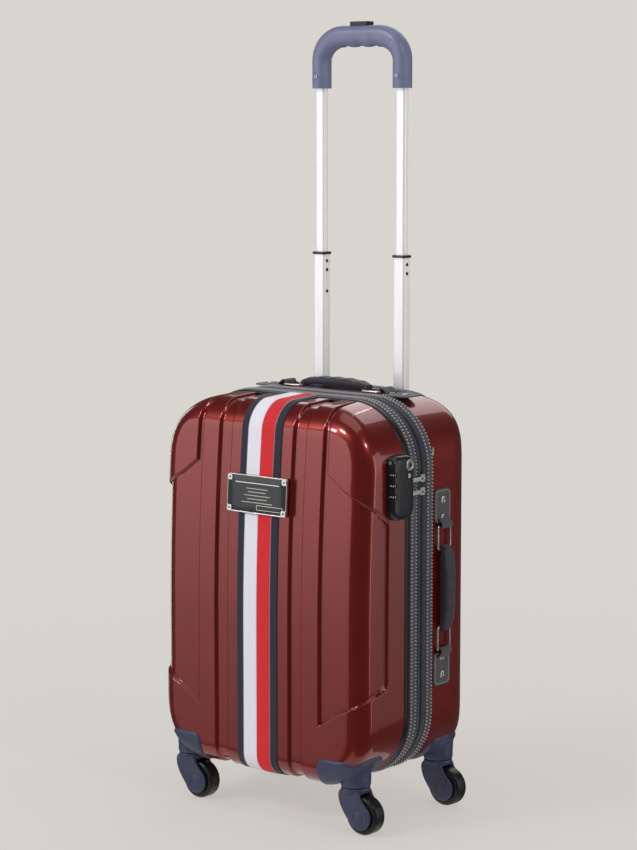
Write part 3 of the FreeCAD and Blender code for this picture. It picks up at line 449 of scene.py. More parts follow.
class Finish(Enum):
    """The finishes of the case: one named after each of the record's material slots, and those of small parts."""

    SHELL = MouldedPolycarbonate()
    TRIM_LEATHER = GrainedLeather("edge_leather_charcoal", "#36363c", "#4e4e56")
    GRIP_LEATHER = GrainedLeather("grip_leather_black", "#202026", "#34343c", 1.1, 0.46)
    # Near-black painted shade: the roll in the dark gap between the front shell and its trim, and the lock's dark
    # groove strips.
    PIPING = MouldedPlastic("painted_shade_black", "#0c0c0e", "#161618", 0.35)
    THREAD = WovenCloth("bonded_polyester_thread", "#9a9a9e", "#d6d6d9", 0.5, 0.7, 1.0, 0.1, 0.6)
    ZIP_TAPE = WovenCloth("zip_tape_twill_navy", "#0d1220", "#1a2134", 1.4, 1.1, 1.0)
    ZIP_TEETH = MouldedPlastic("moulded_zip_teeth_navy", "#10131f", "#1b2032", 0.35, 0.8)
    LINING = WovenCloth("lining_taffeta_grey", "#4b4c52", "#62636b", 1.6, 1.6, 0.0, 0.12, 0.6)
    WEBBING = WovenCloth("woven_webbing_navy", "#151b2b", "#272f45", 1.5, 1.2, 1.0, 0.3, 0.75, 0.1)
    RIBBON_WHITE = WovenCloth("grosgrain_ribbon_white", "#d8d6e6", "#f8f5ff", 1.3, 1.0, 0.0, 0.22, 0.7, 0.1)
    RIBBON_RED = WovenCloth("grosgrain_ribbon_red", "#ca0a14", "#e41e27", 1.3, 1.0, 0.0, 0.22, 0.7, 0.04)
    BRIGHT_METAL = PlatedMetal("nickel_plated_zinc")
    ENAMEL = MouldedPlastic("stoved_enamel_slate", "#20242b", "#2b3037", 0.36, 1.2, 0.03, 0.2)
    CREAM = MouldedPlastic("cream_enamel_border", "#cfcabb", "#e2dfd3", 0.3, 1.2, 0.03, 0.5)
    # Painted light: a paler copy of the navy plastic, standing in for the grip's brightly lit front.
    GRIP_PLASTIC = MouldedPlastic("moulded_grip_navy_lit_copy", "#646587", "#797c9f", 0.36)
    NAVY_PLASTIC = MouldedPlastic("moulded_nylon_navy", "#33344f", "#41435f", 0.4)
    WHEEL = TyreRubber()
    STEEL = PlatedMetal("turned_steel", "#9fa0a3", 0.28)
    LOCK_PLASTIC = MouldedPlastic("moulded_abs_charcoal", "#141519", "#1c1d22", 0.3, 0.8, 0.03, 0.3)
    BLACK_PLASTIC = MouldedPlastic("moulded_abs_black", "#121214", "#1c1c1f", 0.38)
    TUBE = AnodisedTube()
    DIGIT = MouldedPlastic("printed_white_digits", "#e8e8e4", "#f4f4f0", 0.5)
    PAPER = StudioPaper()


class Wardrobe:
    """Builds each finish once and hands it out."""

    def __init__(self) -> None:
        """Starts with no material built."""
        self.built: Dict[str, bpy.types.Material] = {}

    def get(self, finish: Finish) -> bpy.types.Material:
        """Returns the material of a finish, building it the first time."""
        if finish.name not in self.built:
            self.built[finish.name] = finish.value.build()
        return self.built[finish.name]

    def dress_nodes(self) -> None:
        """Gives every CAD node the finish of its slot in the record."""
        for row in frame["record"]["subparts"]:
            node = frame["nodes"][row["node"]]
            node.data.materials.clear()
            node.data.materials.append(self.get(Finish[row["material_slot"].upper()]))


WARDROBE = Wardrobe()

# -------------- shapes


@dataclass(frozen=True)
class Patch:
    """Four-sided faces over points, with a place on the surface for each point, all in millimetres."""

    points: np.ndarray
    faces: np.ndarray
    uv: np.ndarray

    def kept(self, mask: np.ndarray) -> "Patch":
        """Returns the patch with only the faces that the mask names."""
        return Patch(self.points, self.faces[mask], self.uv)

    def without_mouth(self, half: float, rows: Tuple[float, float]) -> "Patch":
        """Returns an unfolded skin without the faces nearer its middle than half, between the two rows."""
        p, q = self.uv[self.faces].mean(axis=1).T
        return self.kept(~((np.abs(p) < half) & (q > rows[0]) & (q < rows[1])))


def lattice(points: np.ndarray, uv: Optional[np.ndarray] = None) -> Patch:
    """Joins a grid of points, row to row and column to column. Rows drawn into one point close a pole.

    Args:
        points: the grid, rows by columns by 3.
        uv: rows by columns by 2, or None for the lengths along the first row and column.

    Returns:
        The patch.
    """
    rows, cols = points.shape[:2]
    index = np.arange(rows * cols).reshape(rows, cols)
    faces = np.stack([index[:-1, :-1], index[:-1, 1:], index[1:, 1:], index[1:, :-1]], -1).reshape(-1, 4)
    if uv is None:
        v, u = (np.concatenate([[0.0], np.cumsum(np.linalg.norm(np.diff(points, axis=k), axis=2).max(axis=1 - k))])
                for k in (0, 1))
        uv = np.stack(np.meshgrid(u, v), -1)
    return Patch(points.reshape(-1, 3), faces, uv.reshape(-1, 2))


def gathered(patches: Sequence[Patch]) -> Patch:
    """Puts patches together, with the face numbers moved along."""
    starts = np.concatenate([[0], np.cumsum([len(p.points) for p in patches])[:-1]])
    return Patch(np.concatenate([p.points for p in patches]),
                 np.concatenate([p.faces + s for p, s in zip(patches, starts)]),
                 np.concatenate([p.uv for p in patches]))


def unit(vectors: np.ndarray) -> np.ndarray:
    """Returns the vectors at a length of 1."""
    return vectors / np.maximum(np.linalg.norm(vectors, axis=-1, keepdims=True), 1e-12)


def closed_ring(outline: np.ndarray) -> np.ndarray:
    """Returns the outline with its first point again at its end."""
    return np.concatenate([outline, outline[:1]])


def walked(line: np.ndarray) -> np.ndarray:
    """Returns the length walked along a line up to each of its points."""
    return np.concatenate([[0.0], np.cumsum(np.linalg.norm(np.diff(line, axis=0), axis=1))])


def each(way: Sequence[float], line: np.ndarray) -> np.ndarray:
    """Returns one and the same direction for every point of a line."""
    return np.tile(np.array(way, float), (len(line), 1))


def mirrored(half: np.ndarray) -> np.ndarray:
    """Returns grid lines on both sides of 0 from those on one side, which start at 0."""
    return np.concatenate([-half[:0:-1], half])


def ends_closed(grid: np.ndarray) -> np.ndarray:
    """Returns a grid of closed rows with one more row at each end, drawn into that end's middle."""
    ends = [np.tile(grid[k, :-1].mean(axis=0), (1, grid.shape[1], 1)) for k in (0, -1)]
    return np.concatenate([ends[0], grid, ends[1]])


def rounded_wave(wave: np.ndarray, power: float) -> np.ndarray:
    """Returns a sine or cosine raised to a power with its sign kept, for the sides of a superellipse."""
    return np.sign(wave) * np.abs(wave) ** power


def layered(outline: np.ndarray, rings: Sequence[Tuple[float, float]]) -> np.ndarray:
    """Stacks closed rings of (u, v, height) points.

    Args:
        outline: the outline's points, anticlockwise, not closed.
        rings: how far in and how high each ring lies.

    Returns:
        The grid, rings by points by 3.
    """
    return np.stack([closed_ring(np.concatenate([inset(outline, amount), np.full((len(outline), 1), height)], 1))
                     for amount, height in rings])


def rounded_rectangle(width: float, height: float, radius: float, steps: int = 6) -> np.ndarray:
    """Works out a rectangle whose corners are quarter circles, anticlockwise from the right edge.

    Args:
        width: the full width.
        height: the full height.
        radius: the corner's radius.
        steps: the steps along each corner.

    Returns:
        The outline's points, not closed.
    """
    turn = np.linspace(0, math.pi / 2, steps + 1)
    quarters = []
    for corner, (sx, sy) in enumerate(((1, 1), (-1, 1), (-1, -1), (1, -1))):
        angle = turn + corner * math.pi / 2
        quarters.append(np.stack([sx * (width / 2 - radius) + radius * np.cos(angle),
                                  sy * (height / 2 - radius) + radius * np.sin(angle)], -1))
    return np.concatenate(quarters)


def circle(radius: float, steps: int = 24) -> np.ndarray:
    """Works out a circle's points, anticlockwise, not closed."""
    angle = np.linspace(0, math.tau, steps, endpoint=False)
    return radius * np.stack([np.cos(angle), np.sin(angle)], -1)


def inset(outline: np.ndarray, amount: float) -> np.ndarray:
    """Moves a closed outline inwards along its own normals.

    Args:
        outline: the points, anticlockwise.
        amount: how far in.

    Returns:
        The new points.
    """
    before = unit(outline - np.roll(outline, 1, axis=0))
    after = unit(np.roll(outline, -1, axis=0) - outline)
    doubled = np.linalg.norm(outline - np.roll(outline, 1, axis=0), axis=1) < 1e-9
    before[doubled] = after[doubled]
    along = unit(before + after)
    return outline + amount * np.stack([-along[:, 1], along[:, 0]], -1)


def soft_edges(thickness: float, radius: float, steps: int = 3) -> List[Tuple[float, float]]:
    """Lists how far in and how high the rings of a slab with rounded edges lie, from its foot to its top."""
    turn = np.linspace(0, math.pi / 2, steps + 1)
    foot = [(radius * (1 - math.sin(t)), radius * (1 - math.cos(t))) for t in turn]
    return foot + [(a, thickness - b) for a, b in reversed(foot)]


def slab(outline: np.ndarray, rings: Sequence[Tuple[float, float]], place: Placer, crown: float = 0.0) -> Patch:
    """Builds a closed plate: the outline is drawn in and raised ring by ring, and each end is closed on its middle.

    Args:
        outline: the closed outline's points, anticlockwise.
        rings: (inset, height) of each ring from foot to top.
        place: turns u, v and height into points.
        crown: how much higher the middle of the top stands than its edge.

    Returns:
        The patch.
    """
    middle = outline.mean(axis=0)
    grid = layered(outline, rings)
    top = grid[-1, :, :2]
    foot = each((*middle, rings[0][1]), top)[None]
    caps = [np.concatenate([middle + (top - middle) * share,
                            np.full((len(top), 1), rings[-1][1] + crown * (1 - share ** 2))], 1)
            for share in (0.66, 0.33, 0.0)]
    grid = np.concatenate([foot, grid, caps])
    return lattice(place(*np.moveaxis(grid, -1, 0)), grid[..., :2])


def axes(origin: Sequence[float], u: Sequence[float], v: Sequence[float], n: Sequence[float]) -> Placer:
    """Makes a placer: origin + u times the first direction + v times the second + n times the third.

    Args:
        origin: the point where u, v and n are 0.
        u: the first direction.
        v: the second direction.
        n: the third direction.

    Returns:
        The placer.
    """
    start, first, second, third = (np.array(a, float) for a in (origin, u, v, n))

    def place(a: np.ndarray, b: np.ndarray, c: np.ndarray) -> np.ndarray:
        """Returns the points of u, v and n."""
        return start + a[..., None] * first + b[..., None] * second + c[..., None] * third

    return place


def turned(profile: Sequence[Sequence[float]], place: Placer, steps: int = 40) -> Patch:
    """Turns a profile round an axis: u = r cos t, v = r sin t, n = h.

    Args:
        profile: (radius, height) from one pole to the other.
        place: turns u, v and n into points.
        steps: the steps of a full turn.

    Returns:
        The patch.
    """
    angle = np.linspace(0, math.tau, steps + 1)
    radius, height = (np.array(profile, float)[:, k:k + 1] for k in (0, 1))
    return lattice(place(radius * np.cos(angle), radius * np.sin(angle), height + 0 * angle))


def swept(path: np.ndarray, side: np.ndarray, up: np.ndarray, section: np.ndarray, capped: bool) -> Patch:
    """Carries a closed section along a path: point = path + a times side + b times up.

    Args:
        path: the path's points.
        side: the first direction of the section at each point.
        up: the second direction at each point.
        section: the section's (a, b) points, not closed, or one section for each point of the path.
        capped: whether both ends are closed on their middles.

    Returns:
        The patch, with u along the section and v along the path.
    """
    if section.ndim == 2:
        section = np.tile(section, (len(path), 1, 1))
    section = np.concatenate([section, section[:, :1]], axis=1)
    grid = path[:, None] + section[..., :1] * side[:, None] + section[..., 1:] * up[:, None]
    u, v = walked(section[0]), walked(path)
    if capped:
        grid, v = ends_closed(grid), np.concatenate([[0.0], v, v[-1:]])
    return lattice(grid, np.stack(np.meshgrid(u, v), -1))


def stitched(points: np.ndarray, run: np.ndarray, out: np.ndarray, length: float = 3.0,
             width: float = 0.9, height: float = 0.5) -> Patch:
    """Lays a stitch at each point: a short bead whose thickness follows sin of its length.

    Args:
        points: the stitches' middles.
        run: the direction of each stitch.
        out: the direction away from the leather at each stitch.
        length: a stitch's length.
        width: its width.
        height: how far it stands up.

    Returns:
        One patch of all the stitches.
    """
    angle = np.linspace(0, math.tau, 7)
    place = np.linspace(-1, 1, 5)
    girth = np.sqrt(np.clip(1 - place ** 4, 0, 1))
    side = np.cross(out, run)
    grid = (points[:, None, None]
            + (place * length / 2)[None, :, None, None] * run[:, None, None]
            + (girth[:, None] * np.cos(angle) * width / 2)[None, :, :, None] * side[:, None, None]
            + (girth[:, None] * np.sin(angle) * height)[None, :, :, None] * out[:, None, None])
    one = lattice(grid[0])
    count = len(one.points)
    faces = (one.faces[None] + np.arange(len(points))[:, None, None] * count).reshape(-1, 4)
    return Patch(grid.reshape(-1, 3), faces, np.tile(one.uv, (len(points), 1)))


# -------------- making objects


def linked(made: bpy.types.Object) -> bpy.types.Object:
    """Returns the object after putting it in the scene."""
    bpy.context.scene.collection.objects.link(made)
    return made


def aimed(data: bpy.types.ID, place: Sequence[float], way: Vector) -> bpy.types.Object:
    """Makes the object of a camera or a light.

    Args:
        data: the camera or the light.
        place: where it is, in metres.
        way: the direction that it looks in.

    Returns:
        The object.
    """
    made = linked(bpy.data.objects.new(data.name, data))
    made.location = place
    made.rotation_euler = way.to_track_quat("-Z", "Y").to_euler()
    return made


class Bench:
    """Makes objects in the frame's metres from the case's own millimetres.

    In the case's own place x = 0 is its middle, y = 0 the flat of its front and z = 0 the floor.
    """

    def __init__(self) -> None:
        """Finds the case's own origin from the box of the front shell."""
        low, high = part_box("front_shell")
        self.origin = np.array([(low.x + high.x) / 2, low.y, 0.0])
        self.count = 0

    def metres(self, points: np.ndarray) -> np.ndarray:
        """Returns the points in metres in the frame."""
        return points * MM + self.origin

    def piece(self, name: str, patches: Sequence[Patch], body: str, slot: str, replaces: Sequence[str] = (),
              finish: Optional[Finish] = None, wall: float = 0.0, facing: Optional[Sequence[float]] = None,
              crease: float = 38.0) -> bpy.types.Object:
        """Makes one piece, merges its seams and poles, and lets it ride on a body.

        Args:
            name: the piece's name.
            patches: its surfaces.
            body: the CAD body that it rides on.
            slot: the record's slot that it takes its finish from.
            replaces: the CAD nodes that it stands for.
            finish: its finish where that is not the slot's own.
            wall: for an open surface, the thickness that it gets inwards.
            facing: for an open surface, a direction that most of it faces.
            crease: the angle in degrees past which an edge looks sharp.

        Returns:
            The object.
        """
        whole = gathered(list(patches))
        mesh = bpy.data.meshes.new(name)
        mesh.vertices.add(len(whole.points))
        mesh.vertices.foreach_set("co", self.metres(whole.points).astype(np.float32).ravel())
        mesh.loops.add(len(whole.faces) * 4)
        mesh.loops.foreach_set("vertex_index", whole.faces.astype(np.int32).ravel())
        mesh.polygons.add(len(whole.faces))
        mesh.polygons.foreach_set("loop_start", np.arange(0, len(whole.faces) * 4, 4, dtype=np.int32))
        mesh.update(calc_edges=True)
        layer = mesh.uv_layers.new(name="surface")
        layer.data.foreach_set("uv", (whole.uv[whole.faces.ravel()] * MM).astype(np.float32).ravel())
        work = bmesh.new()
        work.from_mesh(mesh)
        bmesh.ops.remove_doubles(work, verts=work.verts, dist=2e-6)
        if facing is None:
            bmesh.ops.recalc_face_normals(work, faces=work.faces)
        else:
            way = Vector(facing)
            if sum(f.normal.dot(way) * f.calc_area() for f in work.faces) < 0:
                bmesh.ops.reverse_faces(work, faces=work.faces)
        work.to_mesh(mesh)
        work.free()
        mesh.shade_smooth()
        mesh.set_sharp_from_angle(angle=math.radians(crease))
        mesh.materials.append(WARDROBE.get(finish or Finish[slot.upper()]))
        made = linked(bpy.data.objects.new(name, mesh))
        if wall:
            thick = made.modifiers.new("wall", "SOLIDIFY")
            thick.thickness = wall * MM
            thick.offset = -1.0
        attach(made, body)
        if replaces:
            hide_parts(*replaces)
        self.count += 1
        LOG.info("%s rides on %s with %d faces", name, body, len(mesh.polygons))
        return made


BENCH = Bench()

# -------------- the case's form


@dataclass(frozen=True)
class CaseForm:
    """The outside of one half of the case, as a skin that is unfolded flat.

    p runs across and q up from the middle of the half's face. Within the inner rectangle the skin is flat. Beyond
    it the distance from the rectangle is first spent on the flat, then on the edge's arc, and then on the side wall.
    """

    half_width: float = 175.0
    half_height: float = 246.0
    corner: float = 85.0
    edge: float = 38.0
    top_edge: float = 38.0
    low_edge: float = 27.0
    side_edge: float = 30.0
    corner_cut: float = 8.0
    rim: float = 108.0
    lean: float = 10.5
    top_draft: float = 4.0
    side_draft: float = 1.5
    rear: bool = False

    @property
    def flat(self) -> Tuple[float, float]:
        """The half sizes of the rectangle that the corners are measured from."""
        return self.half_width - self.corner, self.half_height - self.corner

    @property
    def reach(self) -> float:
        """The distance over the skin from that rectangle to the rim."""
        return self.corner - self.edge + self.edge * math.pi / 2 + self.rim - self.edge

    @property
    def ends(self) -> Tuple[float, float]:
        """The p and the q at which the skin ends on its rim."""
        return self.flat[0] + self.reach, self.flat[1] + self.reach

    def skin(self, p: np.ndarray, q: np.ndarray, lift: np.ndarray) -> Patch:
        """Returns the points over the skin as a patch that keeps p and q."""
        return lattice(self.place(p, q, lift), np.stack([p, q], -1))

    def place(self, p: np.ndarray, q: np.ndarray, lift: np.ndarray) -> np.ndarray:
        """Works out points over the skin.

        With d the distance from the inner rectangle, the point lies across by d up to the core, then by r sin a,
        and deeper by r (1 - cos a), where a is the arc walked divided by r. The radius r has one value at the top,
        one at the foot and one at the sides, and is smaller at the case's corners. The front leans back by the
        square of the height above its lower half, and this fades out towards the rim.

        Args:
            p: the way across.
            q: the way up.
            lift: how far off the skin, outwards.

        Returns:
            The points.
        """
        flat_x, flat_z = self.flat
        across_x, across_z = np.maximum(np.abs(p) - flat_x, 0), np.maximum(np.abs(q) - flat_z, 0)
        a, b = np.clip(across_x / self.reach, 0, 1), np.clip(across_z / self.reach, 0, 1)
        vx = across_x * np.sqrt(1 - b * b / 2)
        vz = across_z * np.sqrt(1 - a * a / 2)
        far = np.hypot(vx, vz)
        nx = np.sign(p) * vx / np.maximum(far, 1e-9)
        nz = np.sign(q) * vz / np.maximum(far, 1e-9)
        core = self.corner - self.edge
        upright = np.where(nz < 0, self.low_edge, self.top_edge)
        radius = upright * nz ** 2 + self.side_edge * nx ** 2 + self.edge * (1 - nx ** 2 - nz ** 2)
        radius = radius - self.corner_cut * 4 * nx ** 2 * nz ** 2
        arc = self.edge * math.pi / 2
        lead = self.edge - radius
        walk = 2 * lead + radius * math.pi / 2
        past = far - core
        spent = np.where(past < arc, past * walk / arc, past + walk - arc)
        angle = np.clip((spent - lead) / radius, 0, math.pi / 2)
        across = np.minimum(far, core) + np.clip(spent, 0, lead) + radius * np.sin(angle)
        depth = radius * (1 - np.cos(angle)) + np.maximum(spent - lead - radius * math.pi / 2, 0)
        x = np.sign(p) * np.minimum(np.abs(p), flat_x) + nx * (across + lift * np.sin(angle))
        z = FLOOR_TO_MIDDLE + np.sign(q) * np.minimum(np.abs(q), flat_z) + nz * (across + lift * np.sin(angle))
        y = depth - lift * np.cos(angle)
        fade = np.clip(1 - depth / 96, 0, 1)
        wall = np.sin(angle)
        if self.rear:
            x = x - self.side_draft * fade * nx * wall
            z = z - self.side_draft * fade * nz * wall
            return np.stack([x, BACK - y, z], -1)
        y = y + self.lean * np.maximum((z - 250) / 245, 0) ** 2 * fade
        x = x - self.side_draft * fade * nx * wall
        z = z - fade * wall * (self.top_draft * np.clip(nz, 0, 1) - np.clip(-nz, 0, 1))
        return np.stack([x, y, z], -1)


def spread(stops: Sequence[float], step: float, fine: Sequence[float], width: float, count: int) -> np.ndarray:
    """Lists grid lines: evenly between the stops, with a close set of lines at each fine place.

    Args:
        stops: the places that always get a line, in order.
        step: the widest gap between lines.
        fine: the places where the skin steps.
        width: the width of a step.
        count: the lines over a step.

    Returns:
        The lines in order.
    """
    lines: List[float] = []
    for low, high in zip(stops[:-1], stops[1:]):
        lines.extend(np.linspace(low, high, max(2, int(math.ceil((high - low) / step)) + 1)))
    base = np.array(lines)
    close = [np.linspace(f - 0.35 * width, f + 1.35 * width, count) for f in fine]
    for cluster in close:
        base = base[(base < cluster[0] - 0.8) | (base > cluster[-1] + 0.8)]
    return np.unique(np.round(np.concatenate([base, *close, [stops[0], stops[-1]]]), 4))


@dataclass(frozen=True)
class FrontRelief:
    """The pressed relief of the front: two upright valleys, a channel beside each top corner and two side recesses."""

    depth: float = 4.2
    slope: float = 3.2
    valley: Tuple[float, float] = (51.0, 74.0)
    channel: Tuple[float, float] = (101.0, 111.0)
    side_end: float = 212.0
    knots: Tuple[float, ...] = (101.0, 137.0, 186.0, 212.0)
    low_line: Tuple[float, ...] = (137.0, 159.0, 180.0, 186.0)
    high_line: Tuple[float, ...] = (472.0, 446.0, 421.0, 404.0)
    rounding: float = 9.0

    def edges(self, p: np.ndarray) -> Tuple[np.ndarray, np.ndarray]:
        """Returns the recess's lower and upper edge at each way across, as q."""
        low, high = (np.interp(np.abs(p), self.knots, line) - FLOOR_TO_MIDDLE
                     for line in (self.low_line, self.high_line))
        return low, high

    def inside(self, p: np.ndarray, q: np.ndarray) -> np.ndarray:
        """Works out the distance into the relief's floor zones, with rounded corners.

        The distance into a zone is the least of its distances from each edge. Where two edges of a recess meet it
        is the rounding's radius less the root of the squares of how much each distance falls short of that radius.

        Args:
            p: the way across.
            q: the way up.

        Returns:
            The distance in millimetres, below 0 outside.
        """
        far = np.abs(p)
        low, high = self.edges(p)
        level, end = 0.86 * np.minimum(q - low, high - q), self.side_end - far
        nearest = np.minimum(level, end)
        met = self.rounding - np.hypot(*(np.maximum(self.rounding - edge, 0) for edge in (level, end)))
        recess = np.minimum(far - self.channel[0], np.where(nearest > self.rounding, nearest, met))
        valley, channel = (np.minimum(far - zone[0], zone[1] - far) for zone in (self.valley, self.channel))
        return np.maximum(valley, np.maximum(recess, np.minimum(channel, q - (high - 20))))

    def sink(self, p: np.ndarray, q: np.ndarray) -> np.ndarray:
        """Returns how deep the skin is pressed in: a step that rounds over slowly and meets its floor more sharply."""
        share = np.clip(self.inside(p, q) / self.slope, 0, 1)
        return -self.depth * share ** 1.8 * (1.8 - 0.8 * share ** 4)


@dataclass(frozen=True)
class FrontShell:
    """The front shell: one pressed sheet."""

    form: CaseForm = CaseForm()
    relief: FrontRelief = FrontRelief()
    thickness: float = 2.8
    fixed: float = 236.0

    def lines(self) -> Tuple[np.ndarray, np.ndarray]:
        """Lists the grid's lines, close together where the relief steps.

        Returns:
            The columns and the rows.
        """
        relief, (end, top) = self.relief, self.form.ends
        slope, low, high = relief.slope, relief.low_line[0] - FLOOR_TO_MIDDLE, relief.high_line[0] - FLOOR_TO_MIDDLE
        steps = [relief.valley[0], relief.valley[1] - slope, relief.channel[0], relief.channel[1] - slope,
                 relief.side_end - slope]
        rows = spread([-top, -230, -161, 0, 161, 230, top], 4.4, [low, high - slope], slope + 1, 10)
        return mirrored(spread([0, 90, 137, 197, end], 5.2, steps, slope, 7)), rows

    def build(self) -> None:
        """Makes the shell.

        The rows bend with the recess's slanting edges: between two level rows far above and below, each row is
        moved in proportion, so that the close rows stay on the edges.
        """
        p, level = np.meshgrid(*self.lines())
        low, high = self.relief.edges(np.maximum(np.abs(p), self.relief.channel[0]))
        low_rest, high_rest = (line[0] - FLOOR_TO_MIDDLE for line in (self.relief.low_line, self.relief.high_line))
        end = self.fixed
        below = (level + end) * (low + end) / (low_rest + end) - end
        above = end - (end - level) * (end - high) / (end - high_rest)
        between = low + (level - low_rest) * (high - low) / (high_rest - low_rest)
        q = np.where(level < low_rest, below, np.where(level > high_rest, above, between))
        q = np.where(np.abs(level) > end, level, q)
        BENCH.piece("front_shell_skin", [self.form.skin(p, q, self.relief.sink(p, q))], "lid", "shell",
                    ["front_shell"], wall=self.thickness, facing=(0, -1, 0), crease=60)


REAR_FORM = CaseForm(edge=44.0, low_edge=34.0, side_edge=44.0, corner_cut=14.0, rear=True)


@dataclass(frozen=True)
class RearShell:
    """The rear shell: one pressed sheet with two upright valleys, open at the top over the handle's well."""

    form: CaseForm = REAR_FORM
    depth: float = 3.0
    slope: float = 3.0
    valley: Tuple[float, float] = (51.0, 74.0)
    valley_ends: Tuple[float, float] = (130.0, 478.0)
    mouth_half: float = 99.5
    mouth_rows: Tuple[float, float] = (229.3, 265.0)
    thickness: float = 2.8

    def build(self) -> None:
        """Makes the shell: a smooth step sinks the valleys, and the mouth's cells are left out."""
        end, top = self.form.ends
        low, high = (level - FLOOR_TO_MIDDLE for level in self.valley_ends)
        left, right = self.valley
        half = spread([0, 90, self.mouth_half, 137, 197, end], 5.2, [left, right - self.slope], self.slope, 7)
        rows = spread([-top, -208, -161, 0, 161, 208, *self.mouth_rows, top], 4.8, [low, high - self.slope],
                      self.slope, 7)
        p, q = np.meshgrid(mirrored(half), rows)
        inside = np.minimum(np.minimum(np.abs(p) - left, right - np.abs(p)), np.minimum(q - low, high - q))
        share = np.clip(inside / self.slope, 0, 1)
        skin = self.form.skin(p, q, -self.depth * share * share * (3 - 2 * share))
        BENCH.piece("rear_shell_skin", [skin.without_mouth(self.mouth_half, self.mouth_rows)], "root",
                    "shell", ["rear_shell"], wall=self.thickness, facing=Y, crease=60)


@dataclass(frozen=True)
class Softbox:
    """One soft light, in metres and watts.

    Over the share fall of its height it brightens from its lower edge; at 0 its face is even.
    """

    name: str
    place: Tuple[float, float, float]
    target: Tuple[float, float, float]
    size: Tuple[float, float]
    power: float
    fall: float = 0.0

    def hang(self) -> None:
        """Hangs the light."""
        data = bpy.data.lights.new(self.name, "AREA")
        data.shape = "RECTANGLE"
        data.size, data.size_y = self.size
        data.energy = self.power
        if self.fall > 0:
            data.use_nodes = True
            tree = data.node_tree
            tree.nodes.clear()
            parts = add_node(tree, "ShaderNodeSeparateXYZ", {},
                             {0: add_node(tree, "ShaderNodeNewGeometry").outputs["Parametric"]})
            glow = add_node(tree, "ShaderNodeEmission", {}, {1: ramp(tree, parts.outputs[1], 0, self.fall, 0.05, 1)})
            add_node(tree, "ShaderNodeOutputLight", {}, {0: glow.outputs[0]})
        aimed(data, self.place, Vector(self.target) - Vector(self.place))


# -------------- bands round the case


@dataclass(frozen=True)
class CaseOutline:
    """The outline of the case seen from the front, walked by length from the middle of its top."""

    half_width: float = 175.0
    half_height: float = 246.0
    corner: float = 85.0

    def dense(self, corner_steps: int = 28) -> Tuple[np.ndarray, np.ndarray]:
        """Works out the outline at y = 0 and its outward directions: quarter circles joined by straight runs.

        Args:
            corner_steps: the steps along a corner.

        Returns:
            Points and directions, clockwise from the middle of the top, closed.
        """
        turn = np.linspace(0, math.pi / 2, corner_steps + 1)
        points, ways = [np.array([[0.0, 0.0, self.half_height]])], [np.array([[0.0, 0.0, 1.0]])]
        for step, (sx, sz) in enumerate(((1, 1), (1, -1), (-1, -1), (-1, 1))):
            angle = math.pi / 2 - step * math.pi / 2 - turn
            ways.append(np.stack([np.cos(angle), 0 * angle, np.sin(angle)], -1))
            middle = (sx * (self.half_width - self.corner), 0.0, sz * (self.half_height - self.corner))
            points.append(np.array(middle) + self.corner * ways[-1])
        return (np.concatenate([*points, points[0]]) + np.array([0, 0, FLOOR_TO_MIDDLE]),
                np.concatenate([*ways, ways[0]]))

    def even(self, spacing: float) -> Tuple[np.ndarray, np.ndarray, np.ndarray]:
        """Walks the outline in even steps.

        Args:
            spacing: the step, made a little longer or shorter to close.

        Returns:
            Points at y = 0, outward directions and directions of walk.
        """
        points, ways = self.dense(60)
        gone = walked(points)
        at = np.linspace(0, gone[-1], int(round(gone[-1] / spacing)), endpoint=False)
        points, ways = (np.stack([np.interp(at, gone, line[:, k]) for k in range(3)], -1) for line in (points, ways))
        out = unit(ways)
        return points, out, np.stack([out[:, 2], 0 * at, -out[:, 0]], -1)

    def band(self, section: Sequence[Sequence[float]]) -> Patch:
        """Carries a section round the case.

        Args:
            section: its points, not closed: the way back in y and the way off the case.

        Returns:
            The closed patch.
        """
        path, out = self.dense()
        return swept(path, each(Y, path), out, np.array(section), False)


